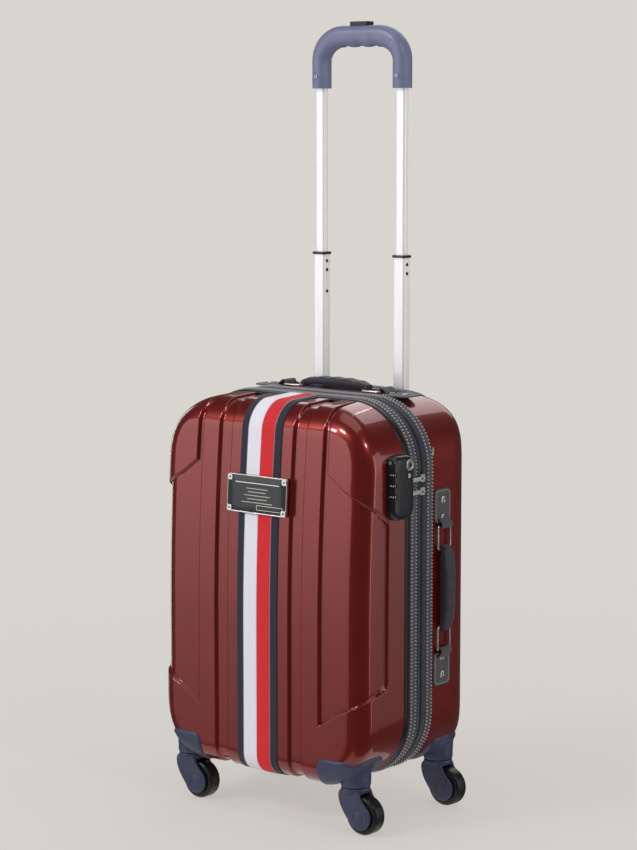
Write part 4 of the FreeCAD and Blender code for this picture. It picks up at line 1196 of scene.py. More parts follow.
@dataclass(frozen=True)
class EdgeTrims:
    """The stitched leather trims, a near-black roll of painted shade for the gap in front of the front trim, and the
    zip between the two shells.
    """

    outline: CaseOutline = CaseOutline()
    trims: Tuple[Tuple[float, float], ...] = ((96.0, 110.0), (130.0, 144.0))
    tapes: Tuple[Tuple[float, float], ...] = ((109.6, 119.4), (120.6, 130.4))
    piping: Tuple[float, float] = (85.0, 96.5)
    stitch_pitch: float = 4.6
    stitch_row: float = 0.18
    teeth_pitch: float = 3.6
    teeth_gap: float = 0.3

    def trim(self, low: float, high: float) -> np.ndarray:
        """Works out a trim's section: a flat leather strip with rolled edges and a stitched groove near each."""
        across = np.array([0.0, 0.06, 0.14, 0.22, 0.32, 0.5, 0.68, 0.78, 0.86, 0.94, 1.0])
        rise = [-1.2, 0.8, 1.25, 1.15, 1.7, 1.9, 1.7, 1.15, 1.25, 0.8, -1.2]
        return np.concatenate([np.stack([low + (high - low) * across, rise], -1), [[high, -2.6], [low, -2.6]]])

    def stitches(self, places: Sequence[float], off: float) -> List[Patch]:
        """Lays a row of stitches at each place, every stitch a little slanted to the row's run."""
        points, out, run = self.outline.even(self.stitch_pitch)
        slant = unit(run + 0.3 * np.array(Y))
        return [stitched(points + np.array([0, place, 0]) + off * out, slant, out, 2.8, 1.4, 1.5)
                for place in places]

    def build(self) -> None:
        """Makes the trims, their stitches, the painted-shade roll and the zip."""
        halves = (("front", "lid"), ("rear", "root"))
        for (half, body), (low, high) in zip(halves, self.trims):
            BENCH.piece(f"{half}_trim_leather", [self.outline.band(self.trim(low, high))], body,
                        "trim_leather", [f"{half}_edge_trim"])
            row = self.stitch_row * (high - low)
            BENCH.piece(f"{half}_trim_stitches", self.stitches((low + row, high - row), 1.75), body,
                        "trim_leather", finish=Finish.THREAD)
        # A near-black half-round roll over the shell's rim, just in front of the trim: painted shade for the dark gap
        # there.
        turn = np.linspace(0, math.pi, 9)
        low, high = self.piping
        roll = np.stack([(low + high) / 2 - (high - low) / 2 * np.cos(turn), 2.0 * np.sin(turn) - 1.0], -1)
        BENCH.piece("gap_shade_roll", [self.outline.band([*roll, (high, -2.5), (low, -2.5)])], "lid",
                    "black_plastic", finish=Finish.PIPING)
        for (half, body), (low, high) in zip(halves, self.tapes):
            section = [(low, 0.0), (low + 1.5, 0.5), ((low + high) / 2, 0.7), (high - 1.5, 0.5), (high, 0.0),
                       (high, -1.5), (low, -1.5)]
            BENCH.piece(f"{half}_zip_cloth", [self.outline.band(section)], body, "zip_tape", [f"{half}_zip_tape"])
            points, out, run = self.outline.even(self.teeth_pitch)
            shift, edge = (0.0, high + self.teeth_gap) if half == "front" else (
                self.teeth_pitch / 2, low - self.teeth_gap)
            teeth = stitched(points + shift * run + np.array([0, edge, 0]) + 0.2 * out, each(Y, points), out,
                             3.2, 1.5, 0.9)
            BENCH.piece(f"{half}_zip_teeth", [teeth], body, "zip_tape", finish=Finish.ZIP_TEETH)


@dataclass(frozen=True)
class Stripe:
    """The navy webbing round the front shell with a white and a red ribbon sewn on it."""

    form: CaseForm = CaseForm()
    webbing: float = 34.0
    ribbon: float = 22.0
    webbing_lift: float = 1.2
    ribbon_lift: float = 2.0
    picot: float = 3.4
    end_gap: float = 12.3
    stitch_end_gap: float = 16.0

    def strip(self, low: float, high: float, foot: float, top: float, rows: int = 190) -> List[Patch]:
        """Builds a strip that follows the skin from the top's trim down over the front to the bottom's trim.

        Args:
            low: the left edge.
            high: the right edge.
            foot: how far off the skin its underside lies.
            top: how far off its face lies.
            rows: the rows along it.

        Returns:
            One patch, with u across and v along.
        """
        end = self.form.ends[1] - self.end_gap
        q = np.linspace(-end, end, rows)
        across = np.array([low, low, low + 0.5, low + 2, (low + high) / 2, high - 2, high - 0.5, high, high, low])
        lift = np.array([foot, top - 0.5, top - 0.1, top, top, top, top - 0.1, top - 0.5, foot, foot])
        p_grid, q_grid = np.meshgrid(across, q)
        points = ends_closed(self.form.place(p_grid, q_grid, np.tile(lift, (rows, 1))))
        return [lattice(points, np.stack(np.meshgrid(across, np.concatenate([q[:1], q, q[-1:]])), -1))]

    def build(self) -> None:
        """Makes the webbing, both ribbons and the edge stitching."""
        under = self.webbing_lift - 0.3
        BENCH.piece("stripe_navy_webbing", self.strip(-self.webbing, self.webbing, 0.0, self.webbing_lift), "lid",
                    "webbing", ["stripe_webbing"])
        BENCH.piece("stripe_white_face", self.strip(-self.ribbon, -0.1, under, self.ribbon_lift), "lid",
                    "ribbon_white", ["stripe_white_ribbon"])
        BENCH.piece("stripe_red_face", self.strip(0.1, self.ribbon, under, self.ribbon_lift), "lid",
                    "ribbon_red", ["stripe_red_ribbon"])
        end = self.form.ends[1] - self.stitch_end_gap
        q = np.arange(-end, end, self.picot)
        rows = []
        for side in (-1.0, 1.0):
            p = np.full(len(q), side * (self.ribbon + 0.2))
            points = self.form.place(p, q, np.full(len(q), self.webbing_lift + 0.1))
            out = unit(self.form.place(p, q, np.full(len(q), 5.0)) - points)
            run = unit(np.gradient(points, axis=0) + side * np.array([1.6, 0.0, 0.0]))
            rows.append(stitched(points, run, out, 3.0, 1.0, 0.9))
        BENCH.piece("stripe_edge_stitches", rows, "lid", "ribbon_white", finish=Finish.THREAD)


# -------------- linings and straps


@dataclass(frozen=True)
class Linings:
    """The cloth that lines both halves, the packing straps with their buckles and the cloth hinge."""

    gap: float = 8.6
    hem_gap: float = 3.2
    mount_across: float = 140.0
    mount_depths: Tuple[float, float] = (30.0, 208.0)
    mount_top: float = 78.6
    mount_radius: float = 24.0
    partition: float = 189.0
    strap_levels: Tuple[float, float] = (189.0, 419.0)
    strap_half: float = 167.0
    hinge_faces: Tuple[float, float] = (-171.6, -170.8)
    hinge_ends: Tuple[float, float] = (114.0, 134.0)
    hinge_levels: Tuple[float, float] = (150.0, 455.0)

    def skin(self, form: CaseForm) -> Patch:
        """Builds a lining: the case's form drawn inwards, and at the rear held flat where a partition lies.

        Its outermost ring of cells is a hem that turns out to the shell at the rim. Over each caster's mount the
        cloth is held up to the mount's top, and beyond the mount's radius it falls away from it by 0.8 a millimetre.

        Args:
            form: the half's form.

        Returns:
            The lining.
        """
        lines = [np.linspace(3 - end, end - 3, count) for end, count in zip(form.ends, (90, 120))]
        p, q = np.meshgrid(*(np.concatenate([line[:1], line, line[-1:]]) for line in lines))
        lift = np.full(p.shape, -self.gap)
        lift[[0, -1]] = lift[:, [0, -1]] = -self.hem_gap
        points = form.place(p, q, lift)
        beside = np.abs(points[..., 0]) - self.mount_across
        beyond = np.hypot(beside, points[..., 1] - self.mount_depths[form.rear]) - self.mount_radius
        points[..., 2] = np.maximum(points[..., 2], self.mount_top - 0.8 * np.maximum(beyond, 0))
        if form.rear:
            points[..., 1] = np.minimum(points[..., 1], self.partition + 1.2)
        return lattice(points, np.stack([p, q], -1))

    def build(self) -> None:
        """Makes the linings, the straps, the buckles and the hinge."""
        for half, body, form, facing in (("front", "lid", CaseForm(), 1), ("rear", "root", REAR_FORM, -1)):
            BENCH.piece(f"{half}_lining_cloth", [self.skin(form)], body, "lining",
                        [f"{half}_lining"], wall=0.8, facing=(0, facing, 0))
        x = np.linspace(-self.strap_half, self.strap_half, 60)
        section = np.array([[-12.5, -0.7], [12.5, -0.7], [12.5, 0.7], [-12.5, 0.7]])
        straps, buckles = [], []
        for level in self.strap_levels:
            path = np.stack([x, 0 * x + self.partition - 1.4, 0 * x + level], -1)
            straps.append(swept(path, each(Z, x), each((0, -1, 0), x), section, True))
            buckles.append(slab(rounded_rectangle(44, 34, 6), soft_edges(5.0, 1.6),
                                axes((0, self.partition - 1.2, level), X, Z, (0, -1, 0)), 0.6))
        BENCH.piece("packing_strap_webs", straps, "root", "webbing", ["packing_straps"])
        BENCH.piece("packing_strap_buckles", buckles, "root", "black_plastic", ["strap_buckles"])
        front, rear = self.hinge_ends
        y, z = np.linspace(front, rear, 13), np.linspace(*self.hinge_levels, 50)
        ring_y = np.concatenate([y, y[::-1], y[:1]])
        ring_x = np.repeat([*self.hinge_faces, self.hinge_faces[0]], [13, 13, 1])
        grid = ends_closed(np.stack(np.broadcast_arrays(ring_x[None], ring_y[None], z[:, None]), -1))
        hinge = BENCH.piece("hinge_cloth", [lattice(grid)], "root", "zip_tape", ["hinge_tape"])
        hinge.parent = None
        del hinge["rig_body"]
        start, end = (BENCH.metres(np.array([-171.2, depth, 300.0])) for depth in (rear, front))
        tuple(start)
        tuple(end)
        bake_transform(hinge)


# -------------- the name plate


@dataclass(frozen=True)
class NamePlate:
    """The enamelled plate on the stripe: plain engraved rules, a bright frame, riveted corners and a card slot."""

    width: float = 101.0
    height: float = 50.0
    level: float = 428.0
    depth: float = 2.9
    tilt: float = 0.062
    rivet: float = 1.5
    gusset: float = 8.2
    corner_gap: float = 4.9
    card_slot: Tuple[float, float] = (44.0, 6.4)
    card_slot_place: Tuple[float, float] = (22.0, -16.5)
    rules: Tuple[Tuple[float, float, float], ...] = (
        (14.5, 74.0, 1.3), (7.5, 36.0, 0.7), (3.0, 30.0, 0.7), (-1.5, 44.0, 0.7), (-6.0, 34.0, 0.7),
        (-10.5, 52.0, 0.7))

    def at(self, u: float = 0.0, v: float = 0.0, n: float = 0.0) -> Placer:
        """Returns the placer from a point of the plate, tilted back with the leaning front."""
        origin = (u, self.depth + v * self.tilt - n, self.level + v + n * self.tilt)
        return axes(origin, X, (0, self.tilt, 1), (0, -1, self.tilt))

    def border(self, outline: np.ndarray, rings: Sequence[Tuple[float, float]], place: Placer) -> List[Patch]:
        """Builds a frame whose section is given by rings of (inset, height) that end where they start."""
        return [lattice(place(*np.moveaxis(layered(outline, rings), -1, 0)))]

    def build(self) -> None:
        """Makes the panel, the frame, the rules, the gussets, the rivets and the slot."""
        panel = slab(rounded_rectangle(self.width - 3, self.height - 3, 2.5), [(0, 0), (0, 2.5), (0.3, 2.7)],
                     self.at())
        BENCH.piece("plate_enamel", [panel], "lid", "enamel", ["plate_panel"])
        rings = [(0, 0), (0, 2.6), (0.3, 3.0), (0.7, 3.2), (1.3, 3.2), (1.7, 3.0), (1.8, 2.4), (1.8, 0), (0, 0)]
        BENCH.piece("plate_border", self.border(rounded_rectangle(self.width, self.height, 3.5), rings, self.at()),
                    "lid", "bright_metal", ["plate_frame"])
        rules = [slab(rounded_rectangle(length, tall, 0.3, 2), [(0, 0), (0, 0.15), (0.08, 0.22)],
                      self.at(0.0, level, 2.6)) for level, length, tall in self.rules]
        BENCH.piece("plate_engraved_rules", rules, "lid", "enamel", finish=Finish.CREAM)
        corners = [self.at(sx * (self.width / 2 - self.corner_gap), sz * (self.height / 2 - self.corner_gap), 2.3)
                   for sx in (-1, 1) for sz in (-1, 1)]
        gussets = [slab(rounded_rectangle(self.gusset, self.gusset, 2.6), [(0, 0), (0, 1.2), (0.5, 1.6)], at)
                   for at in corners]
        BENCH.piece("plate_gussets", gussets, "lid", "bright_metal")
        dome = [(0, 1.4), (self.rivet, 1.4), (self.rivet, 1.9), (self.rivet * 0.7, 2.6), (0, 2.9)]
        BENCH.piece("plate_rivet_heads", [turned(dome, at, 16) for at in corners], "lid",
                    "bright_metal", ["plate_rivets"], Finish.STEEL)
        slot = self.border(rounded_rectangle(*self.card_slot, 1.0), [(0, 0), (0, 0.5), (0.6, 0.5), (0.6, 0), (0, 0)],
                           self.at(*self.card_slot_place, 2.5))
        BENCH.piece("plate_card_slot", slot, "lid", "enamel", finish=Finish.CREAM)


# -------------- casters


@dataclass(frozen=True)
class Caster:
    """One swivelling caster: a guard over the case's corner, a boss, a fork and a soft wheel."""

    end: str
    hand: str
    offset: float = 140.0
    depths: Tuple[float, float] = (30.0, 208.0)
    guard_ends: Tuple[float, float] = (68.0, 74.0)
    guard_top: float = 98.0
    trail: float = 16.0
    wheel_radius: float = 25.0
    wheel_width: float = 20.0
    boss_radius: float = 20.0
    cheek_gap: float = 10.6

    @property
    def rear(self) -> bool:
        """Whether the caster is at the rear."""
        return self.end == "rear"

    @property
    def stem(self) -> Tuple[float, float]:
        """The x and y of the swivel's axis."""
        return self.offset if self.hand == "right" else -self.offset, self.depths[self.rear]

    @property
    def upright(self) -> Placer:
        """The placer on the swivel's axis, at the floor's height."""
        return axes((*self.stem, 0), X, Y, Z)

    def guard(self) -> Patch:
        """Builds the guard: the case's own skin, dense over the corner, lifted inside a wavy outline.

        The lift is a smooth step of the distance inside the outline, and the skin's cells outside it are left out,
        so that its border lies under the shell. Near the swivel's axis the skin is moved away from it to the ninth
        root of the distance and the boss's radius, each to the ninth power, which fills the corner out to the boss.

        Returns:
            The open patch.
        """
        form, far_end, count = (REAR_FORM, 215, 120) if self.rear else (CaseForm(), 200, 110)
        p, q = np.meshgrid(np.linspace(84, far_end, count), np.linspace(-330, -168, 130))
        signed = p if self.hand == "right" else -p
        flat = form.place(signed, q, np.zeros(p.shape))
        x, y, z = np.abs(flat[..., 0]), BACK - flat[..., 1] if self.rear else flat[..., 1], flat[..., 2]
        dip = 4.5 * np.exp(-((x - 158) / 14) ** 2) * np.exp(-((y - 12) / 18) ** 2)
        inner = (self.guard_top - dip - z, x - 99.0,
                 self.guard_ends[self.rear] + 16 * np.clip((z - 88) / 30, -1, 0) - y)
        soft = 14.0
        edge = soft - np.sqrt(sum(np.maximum(soft - inside, 0) ** 2 for inside in inner))
        share = np.clip((edge + 0.6) / 3.0, 0, 1)
        points = form.place(signed, q, -1.2 + 3.9 * share * share * (3 - 2 * share))
        away = points[..., :2] - np.array(self.stem)
        near = np.linalg.norm(away, axis=-1)
        swollen = (near ** 9 + self.boss_radius ** 9) ** (1 / 9)
        grown = near + (swollen - near) * np.clip((self.guard_top + 1 - points[..., 2]) / 8, 0, 1)
        points[..., :2] = np.array(self.stem) + away / np.maximum(near, 1e-6)[..., None] * grown[..., None]
        whole = lattice(points, np.stack([p, q], -1))
        return whole.kept(edge.reshape(-1)[whole.faces].max(axis=1) > -1.6)

    def boss(self) -> Patch:
        """Builds the boss under the guard, a little narrower than the corner above it."""
        radius = self.boss_radius
        return turned([[0, 76], [radius - 0.8, 76], [radius - 0.2, 72], [radius - 0.3, 64], [radius - 0.8, 62.2],
                       [radius - 1.8, 61.4], [0, 61.4]], self.upright, 48)

    def cheek_outline(self) -> np.ndarray:
        """Works out a cheek's outline: a shoulder that sweeps from under the stem down round the hub.

        The left side is a smooth curve through the shoulder and the hub disc's far side, and the right side comes
        back up past the wheel.

        Returns:
            The (x, z) points, not closed, smoothed twice with their neighbours.
        """
        turn = np.radians(np.linspace(-142, 52, 26))
        disc = np.array([self.trail, self.wheel_radius]) + 17.6 * np.stack([np.cos(turn), np.sin(turn)], -1)
        ring = np.concatenate([disc, [
            [22.0, 43.5], [18.5, 46.5], [16.2, 50.5], [15.5, 55.0], [14.8, 58.5], [10, 59.6], [0, 59.9],
            [-10, 59.6], [-17.0, 58.2], [-18.2, 54.0], [-18.3, 49.0], [-17.6, 43.0], [-15.6, 37.0], [-12.0, 31.0],
            [-7.2, 24.2], [-2.6, 18.6]]])
        for _ in range(2):
            ring = (np.roll(ring, 1, axis=0) + 2 * ring + np.roll(ring, -1, axis=0)) / 4
        return ring

    def fork(self) -> List[Patch]:
        """Builds the fork.

        Returns:
            The swivel plate, each rounded cheek with its hub disc, and the crown between them.
        """
        x, y = self.stem
        parts = [turned([[0, 61.0], [17.4, 61.0], [18.6, 60.4], [18.9, 59.0], [18.9, 56.5], [18.2, 54.6], [0, 54.6]],
                        self.upright, 48)]
        for side in (-1, 1):
            parts.append(slab(self.cheek_outline(), soft_edges(4.6, 2.2, 4),
                              axes((x, y + side * self.cheek_gap, 0), X, Z, (0, side, 0)), 0.5))
            hub_at = axes((x + self.trail, y + side * 15.0, self.wheel_radius), X, Z, (0, side, 0))
            parts.append(turned([[0, 1.0], [7.6, 1.0], [8.2, 0.7], [8.5, 1.1], [12.2, 1.0], [12.8, 0.4],
                                 [12.8, -1], [0, -1]], hub_at, 36))
        turn = np.linspace(0, 1, 12)
        back, low, half, front = -15.0 + 6.0 * turn ** 2, 57.5 - 15.0 * turn, 0 * turn + 11.2, 0 * turn + 14.5
        rise = np.maximum(low, 53.0)
        corners = ((back, -half, low), (back, half, low), (front, half, rise), (front, -half, rise),
                   (back, -half, low))
        crown = np.stack([np.stack(corner, -1) for corner in corners], 1)
        parts.append(lattice(ends_closed(crown) + np.array([x, y, 0])))
        return parts

    def wheel(self) -> List[Patch]:
        """Builds the wheel.

        Returns:
            A turned tyre with rounded shoulders, and its dished hub.
        """
        half, radius = self.wheel_width / 2, self.wheel_radius
        turn = np.linspace(0, math.pi / 2, 7)
        right = [(0, 5.5), (4.2, 5.5), (4.8, 7.0), (14.2, 7.4), (15.2, half - 0.6), (16.2, half), (20.6, half)]
        right += [(radius - 4.0 * (1 - math.sin(t)), half - 4.0 * (1 - math.cos(t))) for t in turn]
        profile = [(r, -h) for r, h in right] + [(radius, 0.0)] + right[::-1]
        return [turned(profile, axes((self.stem[0] + self.trail, self.stem[1], radius), X, Z, Y), 56)]

    def build(self) -> None:
        """Makes the guard, the boss, the fork and the wheel."""
        label = f"{self.end}_{self.hand}"
        case_body = "root" if self.rear else "lid"
        BENCH.piece(f"{label}_guard_cover", [self.guard()], case_body, "navy_plastic",
                    [f"{label}_guard"], wall=1.0, facing=(0, 1 if self.rear else -1, -0.6), crease=70)
        BENCH.piece(f"{label}_guard_boss", [self.boss()], case_body, "navy_plastic")
        BENCH.piece(f"{label}_fork_body", self.fork(), f"{label}_caster", "navy_plastic", [f"{label}_fork"])
        BENCH.piece(f"{label}_tyre", self.wheel(), f"{label}_roller", "wheel", [f"{label}_wheel"])


# -------------- carry handles


@dataclass(frozen=True)
class CarryHandle:
    """A padded leather handle held by a ring and a riveted leather tab at each end."""

    name: str
    origin: Tuple[float, float, float]
    along: Tuple[float, float, float]
    out: Tuple[float, float, float]
    tab_start: float = 78.7
    tab_end: float = 130.0
    tab_width: float = 35.0
    tab_lead: float = 6.6
    loop_half: float = 11.0
    ring_inner: float = 51.5
    ring_outer: float = 82.0
    ring_half: float = 13.2
    wire: float = 1.6
    ring_level: float = 3.9
    grip_half: float = 56.0
    grip_width: float = 22.0
    neck_half: float = 7.6
    rivet_places: Tuple[float, float] = (92.0, 115.5)
    stitch_pitch: float = 3.1
    stitch_inset: float = 2.6

    def at(self, shift: float = 0.0, sign: float = 1.0) -> Placer:
        """Returns the placer of the handle: u along it, v across it and n off the case."""
        start = np.array(self.origin) + shift * np.array(self.along)
        return axes(start, sign * np.array(self.along), np.cross(self.out, self.along), self.out)

    def tab_form(self, sign: float) -> Tuple[np.ndarray, Placer]:
        """Returns a tab's flat outline and its placer."""
        outline = rounded_rectangle(self.tab_end - self.tab_start - self.tab_lead, self.tab_width, 7.0, 8)
        return outline, self.at(sign * (self.tab_end + self.tab_start + self.tab_lead) / 2, sign)

    def tab(self, sign: float) -> List[Patch]:
        """Builds one tab: a leather slab with rounded corners, and its narrow end rolled over the ring.

        Args:
            sign: 1 for the end that the handle runs towards, -1 for the other.

        Returns:
            The slab, the rolled strip and the strip's two sides.
        """
        outline, base_at = self.tab_form(sign)
        base = slab(outline, [(0, 0), (0, 1.2), (0.35, 1.8), (1.0, 2.0), (2.2, 1.75), (3.2, 2.05)], base_at, 0.3)
        turn = np.linspace(0, math.pi, 13)
        outer, inner = (np.stack([4.3 - across * np.sin(turn), 5.1 - rise * np.cos(turn)], -1)
                        for across, rise in ((4.6, 5.1), (2.6, 3.1)))
        strip = np.concatenate([outer, [[8, 9.2], [14, 3.2], [14, 1.6], [7.4, 7.6]], inner[::-1]])
        strip = strip + np.array([self.tab_start, 0])
        place, half = self.at(0, sign), len(strip) // 2

        def across_at(line: np.ndarray, across: float) -> np.ndarray:
            """Returns the points of a line in the strip's section at a place across it."""
            return place(line[:, 0], np.full(len(line), across), line[:, 1])

        sheet = [across_at(closed_ring(strip), w) for w in np.linspace(-self.loop_half, self.loop_half, 5)]
        sides = [lattice(np.stack([across_at(line, w) for line in (strip[:half], strip[:half - 1:-1])]))
                 for w in (-self.loop_half, self.loop_half)]
        return [base, lattice(np.stack(sheet)), *sides]

    def tab_stitches(self, sign: float) -> Patch:
        """Lays the stitches round a tab, inside its edge.

        Args:
            sign: 1 for the end that the handle runs towards, -1 for the other.

        Returns:
            The stitches.
        """
        outline, place = self.tab_form(sign)
        ring = closed_ring(inset(outline, self.stitch_inset))
        gone = walked(ring)
        at = np.arange(0, gone[-1], self.stitch_pitch)
        line, ahead = (place(*(np.interp(where, gone, ring[:, k]) for k in (0, 1)), np.full(len(at), 1.9))
                       for where in (at, (at + 1.0) % gone[-1]))
        return stitched(line, unit(ahead - line), each(self.out, line), 2.1, 0.8, 0.5)

    def ring(self, sign: float) -> Patch:
        """Builds one ring: a round wire along a rounded rectangle, turned at each point to the mean of its runs.

        Args:
            sign: 1 for the end that the handle runs towards, -1 for the other.

        Returns:
            The ring.
        """
        ring = closed_ring(rounded_rectangle(self.ring_outer - self.ring_inner, 2 * self.ring_half, 4.0, 6))
        place = self.at(sign * (self.ring_outer + self.ring_inner) / 2, sign)
        path = place(ring[:, 0], ring[:, 1], np.full(len(ring), self.ring_level))
        before = unit(ring - np.roll(ring, 1, axis=0))
        before[0] = before[-1]
        after = np.roll(before, -1, axis=0)
        after[-1] = before[0]
        run, none = unit(before + after), np.zeros(len(ring))
        side = place(run[:, 1], -run[:, 0], none) - place(none, none, none)
        return swept(path, side, each(self.out, path), circle(self.wire, 12), False)

    def crown(self, u: np.ndarray) -> np.ndarray:
        """Returns the height of the grip's top along it, with slight waves for the fingers."""
        share = np.abs(u) / self.grip_half
        return 17.4 - 6.6 * share ** 3.2 + 0.5 * np.cos(u / 22 * math.tau) * (share < 0.8)

    def grip(self) -> List[Patch]:
        """Builds the padded grip: a superellipse section that swells to the middle and necks in to each lug.

        Returns:
            The closed grip.
        """
        near_end = self.grip_half - 0.5
        u = np.concatenate([[-self.grip_half], np.linspace(-near_end, near_end, 75), [self.grip_half]])
        far = np.abs(u)
        neck = np.clip((52 - far) / 10, 0, 1) ** 0.6
        half_width = self.neck_half + (self.grip_width / 2 - self.neck_half) * neck
        low = np.where(far > 46.5, 1.2 + 4.6 * np.clip((self.grip_half - far) / 9.5, 0, 1) ** 2, 5.8)
        high = self.crown(u)
        turn = np.linspace(0, math.tau, 33)
        a, b = (rounded_wave(f, 0.62) for f in (np.cos(turn), np.sin(turn)))
        end = np.where(far >= 55.9, 0.0, 1.0)
        v = half_width[:, None] * a * end[:, None]
        n = ((low + high) / 2)[:, None] + ((high - low) / 2)[:, None] * b * end[:, None]
        return [lattice(self.at()(u[:, None] + 0 * turn, v, n))]

    def seams(self) -> Patch:
        """Lays a row of stitches along each side of the grip's top.

        Returns:
            All the stitches.
        """
        u = np.arange(-43, 43.5, 3.2)
        parts = []
        for side in (-1, 1):
            points = self.at()(u, np.full(len(u), side * 9.6), self.crown(u) - 2.6)
            out = unit(each(np.array(self.out, float) * 0.8 + side * 0.6 * np.cross(self.out, self.along), u))
            parts.append(stitched(points, each(self.along, u), out, 2.1, 0.7, 0.5))
        return gathered(parts)

    def rivets(self) -> List[Patch]:
        """Builds the ring rivets: a raised rim round a small dome."""
        profile = [[0, 1.8], [4.7, 1.8], [5.0, 2.6], [4.5, 3.4], [3.6, 3.6], [2.8, 3.1], [2.4, 2.2], [1.8, 2.1],
                   [0.9, 2.4], [0, 2.5]]
        return [turned(profile, self.at(sign * place, 1.0), 24) for sign in (-1, 1) for place in self.rivet_places]

    def build(self) -> None:
        """Makes the tabs, the stitches, the rivets, the rings and the grip."""
        name, ends = self.name, (-1, 1)
        BENCH.piece(f"{name}_tab_leather", [p for sign in ends for p in self.tab(sign)], "root",
                    "trim_leather", [f"{name}_tabs"])
        BENCH.piece(f"{name}_tab_stitches", [self.tab_stitches(sign) for sign in ends], "root",
                    "trim_leather", finish=Finish.THREAD)
        BENCH.piece(f"{name}_rivet_heads", self.rivets(), "root", "bright_metal", [f"{name}_rivets"])
        BENCH.piece(f"{name}_wire_rings", [self.ring(sign) for sign in ends], name, "bright_metal", [f"{name}_rings"])
        grip = BENCH.piece(f"{name}_padded_grip", self.grip(), name, "grip_leather", [f"{name}_grip"])
        BENCH.piece(f"{name}_grip_seams", [self.seams()], name, "grip_leather", finish=Finish.THREAD)


# -------------- the telescopic handle


@dataclass(frozen=True)
class Telescope:
    """The drawn-out handle: its moulded grip, with the tubes and bushings of the CAD model."""

    pole: float = 68.0
    depth: float = 218.0
    half_width: float = 79.0
    low: float = 950.0
    high: float = 1033.0
    thick: float = 26.0
    shoulder: Tuple[float, float] = (40.0, 33.0)
    collar_level: float = 727.0
    screw_rise: float = 16.0
    pins: Tuple[Tuple[int, float], ...] = ((-1, 718.0), (-1, 706.0), (1, 718.0), (1, 706.0), (-1, 677.0))

    def grip(self) -> Patch:
        """Builds the grip: a rounded section carried up one leg, round elliptical shoulders and down the other.

        The path's corners are quarter ellipses, wider than they are tall, and the section is a superellipse that
        is 22 wide on the legs and 28 tall on the bar, with slight waves for the fingers under the bar.

        Returns:
            The closed grip.
        """
        leg, bar = 11.0, 14.0
        wide, tall = self.shoulder
        turn = np.linspace(0, math.pi / 2, 22)
        cx, cz = self.half_width - leg - wide, self.high - bar - tall
        right = np.stack([cx + wide * np.cos(turn), cz + tall * np.sin(turn)], -1)
        legs = np.stack([np.full(9, self.half_width - leg), np.linspace(self.low, cz - 1.5, 9)], -1)
        top = np.stack([np.linspace(cx - 2, 0, 14), np.full(14, self.high - bar)], -1)
        half = np.concatenate([legs, right, top])
        full = np.concatenate([half, half[-2::-1] * np.array([-1, 1])])
        path = np.stack([full[:, 0], np.full(len(full), self.depth), full[:, 1]], -1)
        run = unit(np.gradient(path, axis=0))
        out = np.stack([run[:, 2], 0 * run[:, 0], -run[:, 0]], -1)
        share = np.clip(np.abs(run[:, 0]), 0, 1) ** 1.5
        wave = 0.9 * np.cos(path[:, 0] / 24 * math.tau) * (np.abs(path[:, 0]) < 36) * share
        angle = np.linspace(0, math.tau, 37)[:-1]
        a, b = (rounded_wave(f, 0.72) for f in (np.cos(angle), np.sin(angle)))
        across = a * (leg + (bar - leg) * share)[:, None] + (a < 0) * wave[:, None]
        section = np.stack(np.broadcast_arrays(across, b * self.thick / 2), -1)
        return swept(path, out, each(Y, path), section, True)

    def build(self) -> None:
        """Makes the collars, the grip, its screws and the spring pins on the poles' right faces."""
        sides = (-1, 1)
        collars = [slab(rounded_rectangle(22.0, 17.0, 3.0), [(0, 0), (0, 2.6), (0.4, 3.2), (1.2, 3.4)],
                        axes((side * self.pole, self.depth, self.collar_level), X, Y, Z)) for side in sides]
        BENCH.piece("trolley_collar_rings", collars, "trolley_middle", "black_plastic", ["trolley_bushings"])
        # The grip takes the paler navy copy: painted light for its lit front.
        BENCH.piece("trolley_grip_moulding", [self.grip()], "trolley_inner", "navy_plastic",
                    ["trolley_grip"], Finish.GRIP_PLASTIC)
        head = [(0, -1.5), (3.4, -1.5), (3.4, 0.3), (2.8, 0.8), (1.5, 0.8), (1.3, 0.3), (0, 0.2)]
        face, level = self.depth - self.thick / 2 + 0.2, self.low + self.screw_rise
        screws = [turned(head, axes((side * self.pole, face, level), X, Z, (0, -1, 0)), 20) for side in sides]
        BENCH.piece("trolley_grip_screws", screws, "trolley_inner", "steel")
        pin = [(0, -1.0), (2.2, -1.0), (2.2, 0.8), (1.6, 1.3), (0, 1.4)]
        pins = [turned(pin, axes((side * self.pole + 9.4, self.depth - 1.0, z), Y, Z, X), 16)
                for side, z in self.pins]
        BENCH.piece("trolley_spring_pins", pins, "trolley_middle", "black_plastic")


